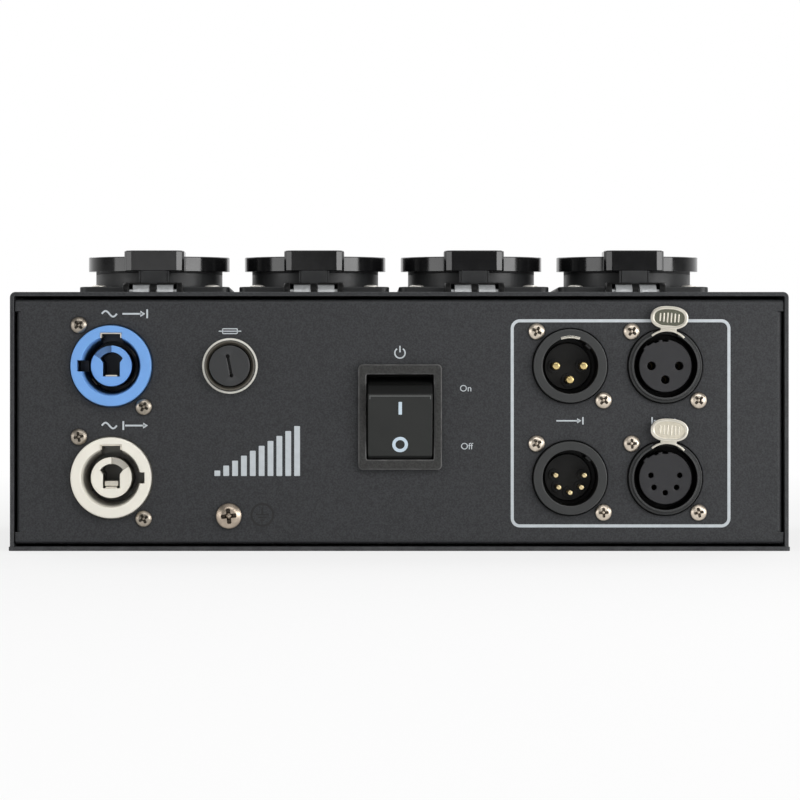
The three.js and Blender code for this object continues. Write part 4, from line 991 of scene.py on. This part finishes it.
BEZEL = (24.6, 31)
BEZEL_REACH = 2
WINDOW = (19.7, 24.9)
HOUSING = (22, 28.2, 0.8)
ROCKER_RADIUS = 14
ROCKER_FACE = math.radians(40.9)
ROCKER_END = math.radians(54.9)
ROCKER_TILT = math.radians(13)
ROCKER_PIVOT = BEZEL_REACH - 8.6
ROCKER_WIDTH = WINDOW[0] - 0.8


def make_switch():
    seat = seat_on(FRONT, "switch_housing")
    bezel = slab(rounded_rectangle(*BEZEL, 1.4), [rounded_rectangle(*WINDOW, 0.5)], 0, BEZEL_REACH, 0.45, 0.1)
    walls = slab(rounded_rectangle(*HOUSING), [rectangle(WINDOW[0], 26.6)], -14, 0.3, 0.1)
    floor = slab(rounded_rectangle(*HOUSING), (), -22, -12.1, 0.3)
    piece("switch_frame", [fused(bezel, walls, floor)], seat, "casing", BEZEL_BLACK,
          ["switch_housing"])
    blades = [blade(-30, -21.6, x * 8, y * 11) for x in (-1, 1) for y in (-1, 1)]
    piece("switch_blades", blades, seat, "casing", NICKEL)
    # The side outline has height along X and depth along Y, until it is stood up with its thickness across.
    side = [Vector((ROCKER_RADIUS * math.sin(ROCKER_END), -2.2))]
    side += arc(ROCKER_RADIUS, QUARTER - ROCKER_END, QUARTER - ROCKER_FACE, 10)
    block = along_x(slab(side + mirrored(side), (), -ROCKER_WIDTH / 2, ROCKER_WIDTH / 2, 0.35))
    pins = laid(rod(1.2, -WINDOW[0] / 2 - 0.5, WINDOW[0] / 2 + 0.5))
    pivot = seat @ Matrix.Translation((0, 0, ROCKER_PIVOT)) @ Matrix.Rotation(ROCKER_TILT, 4, "X")
    piece("rocker_cap", [fused(block, pins)], pivot, "rocker", ROCKER, ["switch_rocker"])
    face = ROCKER_RADIUS * math.cos(ROCKER_FACE)
    low, high = face - 0.1, face + 0.04
    line = slab(rounded_rectangle(1.0, 3.8, 0.15, 0, 5.1), (), low, high, 0)
    ring = slab(circle(2.3, 0, -5.8), [circle(1.35, 0, -5.8)], low, high, 0)
    piece("rocker_marks", [line, ring], pivot, "rocker", MARK)
    # A lighter line along the top edge of the rocker's face and short bars at its corners: painted highlight
    # on the ridge.
    ridge_y = ROCKER_RADIUS * math.sin(ROCKER_FACE) - 0.4
    ridge = [slab(rectangle(ROCKER_WIDTH - 0.9, 0.32, 0, ridge_y), (), low, high, 0)]
    for hand in (-1, 1):
        x = hand * (ROCKER_WIDTH / 2 - 0.6)
        ridge.append(slab(rectangle(0.3, 1.1, x, ridge_y - 0.4), (), low, face + 0.05, 0))
    piece("rocker_ridge_line", ridge, pivot, "rocker", RIDGE)


# Outlets on top

FLANGE_THICKNESS = 6
COLLAR_TOP = 10.9
WELL_RADIUS = 19.5
WELL_FLOOR = -6.6
PLUG_PIN_X = 9.5
CORNER_SCREW = 19
LID_RADIUS = 24
LID_BOTTOM = 11.2
LID_TOP = 16.1
LID_TILT = math.radians(1.9)
TAB_TOP = 18
TAB_FRONT = -27
TAB_BACK = -16
TAB_HALF = 10.05
TAB_FLAT = 7.45
TAB_SHOULDER = 9.3
TAB_SLOPE = 1.0
HINGE_Y = -29.5
HINGE_Z = 4.2
HOOD_RADIUS = 3.0
HOOD_HOLLOW = 2.6
HOOD_HALF = 9.95
HOOD_CHEEK = 2.1
HOOD_FOOT = math.radians(-105)
HOOD_MOUTH = math.radians(112)


def at_hinge(bm):
    return moved(bm, 0, HINGE_Y, HINGE_Z)


def socket_body():
    flange = slab(rounded_rectangle(FLANGE_SIDE, FLANGE_SIDE, 3), [circle(WELL_RADIUS + 0.6)], 0,
                  FLANGE_THICKNESS, 0.35, 0.1)
    cup = turned_round(
        [(0, -22), (COLLAR_RADIUS, -22), (COLLAR_RADIUS, COLLAR_TOP), (WELL_RADIUS, COLLAR_TOP),
         (WELL_RADIUS, WELL_FLOOR), (0, WELL_FLOOR)], [0, 0.4, 0.12, 0.4, 0.4, 0])
    ribs = [slab(rectangle(2.4, 4.6, side * (WELL_RADIUS - 0.4), 0), (), WELL_FLOOR - 0.4,
                 COLLAR_TOP - 2, 0.3) for side in (-1, 1)]
    bores = [moved(rod(2.7, WELL_FLOOR - 13, WELL_FLOOR + 3, 0), side * PLUG_PIN_X, 0) for side in (-1, 1)]
    return cut(fused(flange, cup, *ribs), *bores)


def socket_knuckle():
    """The eye of the socket body, which holds the hinge pin between the two springs."""
    eye = along_x(slab(circle(2.7, steps=SMALL_STEPS), [circle(1.1, steps=SMALL_STEPS)], -1, 1, 0.2))
    neck = along_x(slab(rectangle(5.4, 4.2, 3.6, -0.6), (), -1, 1, 0.1))
    return at_hinge(fused(eye, neck))


def socket_metal():
    """Two earth clips in the well and the two contact sleeves under its floor."""
    low = WELL_FLOOR - 0.2
    clip = [(19.1, low), (19.1, 5.2), (17.4, 8.6), (18.0, 9.0), (19.6, 5.6), (19.6, low)]
    parts = []
    for side in (-1, 1):
        outline = rounded([Vector((side * y, z)) for y, z in clip], 0.3, 3)
        parts.append(along_x(slab(outline, (), -2.6, 2.6, 0.08)))
        parts.append(moved(tube(2.0, 2.55, -18, -9), side * PLUG_PIN_X, 0))
    return parts


def socket_lid():
    disc = turned_round(
        [(0, LID_BOTTOM + 1.6), (WELL_RADIUS, LID_BOTTOM + 1.6), (WELL_RADIUS, LID_BOTTOM),
         (LID_RADIUS, LID_BOTTOM), (LID_RADIUS, LID_TOP), (LID_RADIUS - 2.4, LID_TOP + 0.05),
         (LID_RADIUS - 2.8, LID_TOP - 0.25), (LID_RADIUS - 3.4, LID_TOP - 0.2), (0, LID_TOP + 0.35)],
        [0, 0.2, 0.2, 0.12, 0.3, 0.2, 0.2, 0.2, 0])
    lift = slab(rounded_rectangle(14, 6, 1.8, 0, LID_RADIUS), (), LID_BOTTOM, LID_BOTTOM + 2.3, 0.5, 0.2)
    tilt = (Matrix.Translation((0, -LID_RADIUS, LID_BOTTOM)) @ Matrix.Rotation(LID_TILT, 4, "X")
            @ Matrix.Translation((0, LID_RADIUS, -LID_BOTTOM)))
    side = [(TAB_FLAT, TAB_FRONT), (TAB_SHOULDER, TAB_FRONT + TAB_SLOPE),
            (TAB_HALF - 0.1, TAB_FRONT + 2.4 * TAB_SLOPE), (TAB_HALF, TAB_BACK)]
    outline = [Vector(p) for p in side] + [Vector((-x, y)) for x, y in reversed(side)]
    corners = [0.3, 0.3, 0.5, 1.5]
    tab = slab(rounded(outline, corners + corners[::-1]), (), LID_BOTTOM, TAB_TOP, 0.4, 0.25)
    return fused(seated(fused(disc, lift), tilt), tab)


def lid_hood():
    """The two halves of the lid's knuckle, open at the front, where the springs show."""
    hood = []
    shell = arc(HOOD_RADIUS, HOOD_FOOT, HOOD_MOUTH, 40) + arc(HOOD_HOLLOW, HOOD_MOUTH, HOOD_FOOT, 40)
    eye = [circle(0.95, steps=SMALL_STEPS)]
    for side in (-1, 1):
        low, high = sorted((side * 1.3, side * (HOOD_HALF - HOOD_CHEEK + 0.2)))
        hood.append(at_hinge(along_x(slab(shell, (), low, high, 0.12))))
        low, high = sorted((side * (HOOD_HALF - HOOD_CHEEK), side * HOOD_HALF))
        hood.append(at_hinge(along_x(slab(circle(HOOD_RADIUS, steps=64), eye, low, high, 0.5))))
    return hood


def lid_arm():
    """The arm in front of the collar, from the lid to its knuckle, with a fine groove near each side."""
    notch, top = HINGE_Z + 2.1, LID_BOTTOM + 0.1
    points = [(-4.3, HINGE_Z), (-1.3, HINGE_Z), (-1.3, notch), (1.3, notch), (1.3, HINGE_Z), (4.3, HINGE_Z),
              (4.3, top), (-4.3, top)]
    parts = [along_y(slab([Vector(p) for p in points], (), 24.6, 26.9, 0.12))]
    height = top - HINGE_Z
    for side in (-1, 1):
        outline = rectangle(0.55, height, side * 4.72, HINGE_Z + height / 2)
        parts.append(along_y(slab(outline, (), 24.6, 26.7, 0.12)))
    return parts


def lid_gasket():
    inner, outer = WELL_RADIUS + 0.2, COLLAR_RADIUS
    low, high = COLLAR_TOP + 0.05, LID_BOTTOM + 2
    return turned_round([(inner, low), (outer, low), (outer, high), (inner, high)], 0)


def make_outlets():
    body, lid, knuckle, gasket = socket_body(), socket_lid(), socket_knuckle(), lid_gasket()
    metal, arm, hood = socket_metal(), lid_arm(), lid_hood()
    springs = [at_hinge(coil(2.2, 0.2, start, 5.9)) for start in (-6.8, 1.1)]
    pin = at_hinge(laid(rod(0.88, -HOOD_HALF + 0.1, HOOD_HALF - 0.1, 0.25)))
    head = pan_screw(2.5, 0.8)
    for number, x in enumerate(OUTLET_XS, 1):
        seat, lid_body = TOP @ Matrix.Translation((x, OUTLET_Y, 0)), f"lid_{number}"
        screws = [copied(head, Matrix.Translation((u * CORNER_SCREW, v * CORNER_SCREW, FLANGE_THICKNESS))
                         @ Matrix.Rotation(0.7 * u + 0.4 * v + number - 1, 4, "Z"))
                  for u in (-1, 1) for v in (-1, 1)]
        for kind, parts, rides_on, slot, material, node_name in (
                ("body", [body], "casing", "socket_plastic", MOULDED, "socket_body"),
                ("contacts", metal, "casing", "gold_contacts", BRASS, None),
                ("lid", [lid], lid_body, "lid_plastic", GLOSS, "socket_lid"),
                ("arm", arm, lid_body, "lid_plastic", MOULDED, None),
                # The hood and the knuckle take the darker black: painted shade.
                ("hood", hood, lid_body, "lid_plastic", HOOD, None),
                ("knuckle", [knuckle], "casing", "socket_plastic", HOOD, None),
                ("gasket", [gasket], lid_body, "socket_plastic", RUBBER, None),
                ("springs", springs + [pin], "casing", "nickel", SPRING, "lid_hinge_pin"),
                ("screws", screws, "casing", "nickel", TOP_SCREW, None)):
            nodes = [f"{node_name}_{number}"] if node_name else ()
            piece(f"outlet_{kind}_{number}", parts, seat, rides_on, material, nodes)


# Marks printed on the connector panel

DATA_FRAME = (64.5, 61.1, 2.7, 0.9, 64.95, 37.45)
ARROW_LINE_Y = 38.2
WORD_SIZE = 2.7
WAVE_STEPS = 24
BAR_COUNT = 10
BAR_LEFT = -53.4
BAR_PITCH = 2.6
BAR_FOOT = 22


def frame_ring(width, height, radius, line, x, y):
    return printed(rounded_rectangle(width, height, radius, x, y),
                   [rounded_rectangle(width - 2 * line, height - 2 * line, radius - line, x, y)])


def bar(x1, y1, x2, y2, line):
    """A straight printed stroke."""
    start, end = Vector((x1, y1)), Vector((x2, y2))
    side = (end - start).normalized().orthogonal() * line / 2
    return printed([start - side, end - side, end + side, start + side])


def lettering(text, size, x, y):
    """Plain words such as on a switch, centred on a place."""
    curve = bpy.data.curves.new("words", "FONT")
    curve.body = text
    curve.size = size
    curve.align_x = "CENTER"
    curve.extrude = 0.035
    words = bpy.data.objects.new("words", curve)
    bpy.context.scene.collection.objects.link(words)
    evaluated = words.evaluated_get(bpy.context.evaluated_depsgraph_get())
    bm = bmesh.new()
    bm.from_mesh(evaluated.to_mesh())
    evaluated.to_mesh_clear()
    bpy.data.objects.remove(words)
    bmesh.ops.remove_doubles(bm, verts=bm.verts, dist=1e-4)
    return moved(bm, x, y - size * 0.36)


def arrow(x, y, length, height, line, hand):
    """An arrow that points into a bar, hand 1, or away from one, hand -1."""
    tip = x + length / 2 - (line * 1.6 if hand > 0 else 0)
    tail = x - length / 2 + (0 if hand > 0 else line * 1.6)
    head = height * 0.55
    back, half = tip - head, head * 0.62
    wall = x + hand * (length / 2 - line / 2)
    return [bar(tail, y, tip - head * 0.6, y, line),
            printed([Vector((back, y - half)), Vector((tip, y)), Vector((back, y + half))]),
            bar(wall, y - height / 2, wall, y + height / 2, line)]


def wave(x, y, width, height, line):
    """The common sign for alternating current."""
    points = [Vector((x + width * (i / WAVE_STEPS - 0.5), y + height / 2 * math.sin(TURN * i / WAVE_STEPS)))
              for i in range(WAVE_STEPS + 1)]
    upper, lower = [], []
    for i, point in enumerate(points):
        along = (points[min(i + 1, WAVE_STEPS)] - points[max(i - 1, 0)]).normalized()
        side = Vector((-along.y, along.x)) * line / 2
        upper.append(point + side)
        lower.append(point - side)
    return printed(lower + upper[::-1])


def make_prints():
    fuse, switch = middle("fuse_cap"), middle("switch_housing")
    parts = [frame_ring(*DATA_FRAME)]
    ring = printed(circle(8.15, fuse.x, fuse.z), [circle(7.55, fuse.x, fuse.z)])
    piece("fuse_ring_print", [ring], FRONT, "casing", WARM_PRINT)
    for name, hand in (("power_inlet", 1), ("power_outlet", -1)):
        centre = middle(name)
        y = centre.z + 15.3
        parts.append(wave(centre.x - 0.6, y, 4.4, 1.7, 0.5))
        parts += arrow(centre.x + 7.0, y, 7.5, 2.6, 0.5, hand)
    for name, hand in (("data_in_5pin", 1), ("data_out_5pin", -1)):
        parts += arrow(middle(name).x, ARROW_LINE_Y, 8.0, 2.2, 0.42, hand)
    y = fuse.z + 10.2
    parts.append(frame_ring(4.6, 1.7, 0.4, 0.3, fuse.x, y))
    parts.append(bar(fuse.x - 3.3, y, fuse.x + 3.3, y, 0.3))
    y = switch.z + 18.8
    start, end = math.radians(125), math.radians(415)
    parts.append(printed(arc(1.7, start, end, 40, switch.x, y) + arc(1.3, end, start, 40, switch.x, y)))
    parts.append(bar(switch.x, y + 0.2, switch.x, y + 2.1, 0.4))
    parts.append(lettering("On", WORD_SIZE, 19.5, 47.8))
    parts.append(lettering("Off", WORD_SIZE, 19.8, 30.8))
    for i in range(BAR_COUNT):
        height = 1.6 + i * 1.45
        x = BAR_LEFT + i * BAR_PITCH
        parts.append(printed(rounded_rectangle(1.7, height, 0.2, x, BAR_FOOT + height / 2)))
    piece("panel_prints", parts, FRONT, "casing", PRINT)


def make_earth():
    centre = middle("earth_screw")
    nut = slab(circle(4, steps=6), (), -4.4, BEHIND, 0.3)
    piece("earth_screw_cross", [fused(pan_screw(3.8, 2.2, 0.1, 2, 12), nut)], seat_on(FRONT, "earth_screw"),
          "casing", EARTH_SCREW, ["earth_screw"])
    # The stamped earth sign is drawn as dark strokes: painted shade in its grooves.
    x, y = centre.x + 9.8, centre.z + 0.3
    stamp = [printed(circle(3.5, x, y), [circle(2.9, x, y)]), bar(x, y + 0.1, x, y + 2.2, 0.5)]
    for i, half in enumerate((1.9, 1.25, 0.6)):
        stamp.append(bar(x - half, y + 0.1 - i * 0.85, x + half, y + 0.1 - i * 0.85, 0.4))
    piece("earth_stamp", stamp, FRONT, "casing", STAMP_SHADE)


def make_connector_panel():
    holes = []
    for name in CONNECTORS:
        centre = middle(name)
        radius = POWER_HOLE if name.startswith("power") else DATA_HOLE
        holes.append(circle(radius, centre.x, centre.z))
        for side in ("left", "right"):
            screw = middle(f"{name}_screw_{side}")
            holes.append(circle(1.8, screw.x, screw.z, SMALL_STEPS))
    fuse, earth, switch = middle("fuse_cap"), middle("earth_screw"), middle("switch_housing")
    holes.append(circle(6.5, fuse.x, fuse.z))
    holes.append(circle(2.3, earth.x, earth.z, SMALL_STEPS))
    holes.append(rounded_rectangle(22.6, 28.8, 0.5, switch.x, switch.z))
    piece("connector_panel_sheet", [folded_panel("connector_panel", holes)], FRONT, "casing",
          POWDER, ["connector_panel"])


# Display and buttons on the far side

BUTTONS = ["mode", "down", "up", "enter"]


def button_mark(name, x, y):
    """Three bars, a tick, or a triangle up or down."""
    if name == "mode":
        return [bar(x - 1.3, y + i * 0.8, x + 1.3, y + i * 0.8, 0.35) for i in (-1, 0, 1)]
    if name == "enter":
        return [bar(x - 1.4, y - 0.2, x - 0.4, y - 1.2, 0.4), bar(x - 0.5, y - 1.2, x + 1.5, y + 1.1, 0.4)]
    tip = 1.2 if name == "up" else -1.2
    return [printed([Vector((x - 1.4, y - tip)), Vector((x + 1.4, y - tip)), Vector((x, y + tip))])]


def make_control_side():
    lens = middle("display_window")
    places = {name: middle(f"{name}_button") for name in BUTTONS}
    holes = [rounded_rectangle(40, 18, 1.5, -lens.x, lens.z)]
    holes += [circle(4.3, -p.x, p.z, SMALL_STEPS) for p in places.values()]
    piece("control_panel_sheet", [folded_panel("control_panel", holes)], BACK, "casing",
          POWDER, ["control_panel"])
    window = fused(slab(rounded_rectangle(39.4, 17.4, 1.4), (), -2.2, 0.6, 0.3),
                   slab(rounded_rectangle(43, 21, 1.5), (), -2.2, BEHIND, 0.1))
    piece("display_lens", [window], seat_on(BACK, "display_window"), "casing", LENS,
          ["display_window"])
    marks = []
    for name, p in places.items():
        cap = turned_round(
            [(0, -3.2), (1.8, -3.2), (1.8, -2.5), (5.2, -2.5), (5.2, -1.5), (4, -1.5), (4, 2.35), (0, 2.6)],
            [0, 0, 0, 0.2, 0.2, 0, 0.7, 0], 64)
        dish = moved(turned_round([(0, 0), (6, 2.2), (6, 6), (0, 6)], 0, 64), 0, 0, 2.3)
        piece(f"{name}_button_cap", [cut(cap, dish)], seat_on(BACK, f"{name}_button"), f"button_{name}",
              BUTTON, [f"{name}_button"])
        marks += button_mark(name, -p.x, p.z - 9)
    marks.append(frame_ring(46, 24, 2.2, 0.5, -lens.x, lens.z))
    piece("control_prints", marks, BACK, "casing", PRINT)


def dress_inside():
    """The pieces inside keep their solids and get their finishes."""
    finishes = {"control_board": BOARD, "power_board": BOARD, "data_board": BOARD, "heat_sink": SINK,
                "supply_module": PLAIN_BLACK, "mains_terminal_block": TERMINAL}
    finishes.update({f"filter_choke_{i + 1}": COPPER for i in range(OUTLET_COUNT)})
    for name, material in finishes.items():
        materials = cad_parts[name].data.materials
        if not materials:
            materials.append(material)
        for i in range(len(materials)):
            materials[i] = material


# Camera, light and floor

ROOM_DIM = 0.16
ROOM_FILL = 0.42
FLOOR_HALF = 8
LAMP_AIM = (0, 0, 0.04)

# Name, azimuth and elevation in degrees, distance, width, height, radiance. Azimuth 0 is in front of the
# connector side, 90 on its right. The lengths are metres.
LAMPS = (
    ("left_softbox", -62, 8, 1.5, 0.75, 0.5, 2.9),
    ("right_softbox", 62, 8, 1.5, 0.75, 0.5, 5.8),
    ("front_right_softbox", 36, 14, 0.6, 0.26, 0.34, 2.4),
    ("left_card", -7.5, 5, 1.2, 0.17, 0.16, 1.0),
    ("top_softbox", 4, 44, 1.5, 1.2, 0.6, 2.5),
    ("back_left_softbox", 145, 35, 1.6, 0.9, 0.9, 2.2),
    ("back_right_softbox", -145, 35, 1.6, 0.9, 0.9, 2.2),
)


def make_camera():
    data = bpy.data.cameras.new("camera")
    data.sensor_width = SENSOR_WIDTH
    data.lens = FOCAL_PIXELS / IMAGE_WIDTH * SENSOR_WIDTH
    data.shift_x = 0.5 - AHEAD_PIXEL / IMAGE_WIDTH
    camera = bpy.data.objects.new("camera", data)
    camera.location = Vector((CAMERA_X, PANEL_Y - CAMERA_AWAY, CAMERA_Z)) * MM
    camera.rotation_euler = (QUARTER, 0, 0)
    bpy.context.scene.collection.objects.link(camera)
    bpy.context.scene.camera = camera


def softbox(name, azimuth, elevation, away, width, height, radiance):
    """A soft lamp aimed at the pack."""
    data = bpy.data.lights.new(name, "AREA")
    data.shape = "RECTANGLE"
    data.size, data.size_y = width, height
    data.energy = radiance * math.pi * width * height
    lamp = bpy.data.objects.new(name, data)
    a, e = math.radians(azimuth), math.radians(elevation)
    lamp.location = Vector((math.sin(a) * math.cos(e), -math.cos(a) * math.cos(e), math.sin(e))) * away
    lamp.location.z += LAMP_AIM[2]
    bpy.context.scene.collection.objects.link(lamp)
    lamp.rotation_euler = (Vector(LAMP_AIM) - lamp.location).to_track_quat("-Z", "Y").to_euler()
    lamp.visible_camera = False


def mirror_ray(tree, ray):
    """1 where a surface mirrors or passes the light, 0 for plain light."""
    return combined(tree, "MAXIMUM", ray["Is Glossy Ray"], ray["Is Transmission Ray"])


def make_world():
    world = bpy.data.worlds.new("studio")
    bpy.context.scene.world = world
    world.use_nodes = True
    tree = world.node_tree
    ray = node(tree, "ShaderNodeLightPath").outputs
    facing = node(tree, "ShaderNodeSeparateXYZ", {0: node(tree, "ShaderNodeTexCoord").outputs["Generated"]})
    behind = spread(tree, facing.outputs["Y"], ROOM_DIM, 1, 0.15, 0.8)
    shown = blended(tree, mirror_ray(tree, ray), (ROOM_FILL, ROOM_FILL, ROOM_FILL, 1), behind)
    seen = blended(tree, ray["Is Camera Ray"], shown, (1, 1, 1, 1))
    tree.links.new(seen, tree.nodes["Background"].inputs["Color"])


def make_floor():
    """A pale floor that turns into plain white with distance, where the camera or a mirror sees it."""
    mesh = bpy.data.meshes.new("floor")
    corners = [(x * FLOOR_HALF, y * FLOOR_HALF, 0) for x, y in ((-1, -1), (1, -1), (1, 1), (-1, 1))]
    mesh.from_pydata(corners, [], [(0, 1, 2, 3)])
    floor = bpy.data.objects.new("floor", mesh)
    bpy.context.scene.collection.objects.link(floor)
    material = bpy.data.materials.new("pale_floor")
    material.use_nodes = True
    tree = material.node_tree
    tree.nodes.remove(tree.nodes["Principled BSDF"])
    lit = node(tree, "ShaderNodeBsdfDiffuse", {"Color": (0.82, 0.82, 0.82, 1)}).outputs[0]
    glow = node(tree, "ShaderNodeEmission", {"Color": (1, 1, 1, 1), "Strength": 1}).outputs[0]
    ray = node(tree, "ShaderNodeLightPath").outputs
    place = node(tree, "ShaderNodeTexCoord").outputs["Object"]
    away = node(tree, "ShaderNodeVectorMath", {0: place}, operation="LENGTH").outputs["Value"]
    direct = combined(tree, "MAXIMUM", ray["Is Camera Ray"], mirror_ray(tree, ray))
    share = combined(tree, "MULTIPLY", spread(tree, away, 0.72, 1, 0.25, 0.8), direct)
    mixed = node(tree, "ShaderNodeMixShader", {0: share, 1: lit, 2: glow}).outputs[0]
    tree.links.new(mixed, tree.nodes["Material Output"].inputs["Surface"])
    mesh.materials.append(material)


make_camera()
make_world()
make_floor()
for lamp in LAMPS:
    softbox(*lamp)
bpy.context.scene.view_settings.view_transform = "Standard"
make_cover()
make_base()
make_connector_panel()
make_power("power_inlet", -1, BLUE)
make_power("power_outlet", 1, WHITE)
for pins in (3, 5):
    make_male(pins)
    make_female(pins)
    make_latch(pins)
make_connector_screws()
make_fuse()
make_switch()
make_earth()
make_prints()
make_outlets()
make_control_side()
dress_inside()

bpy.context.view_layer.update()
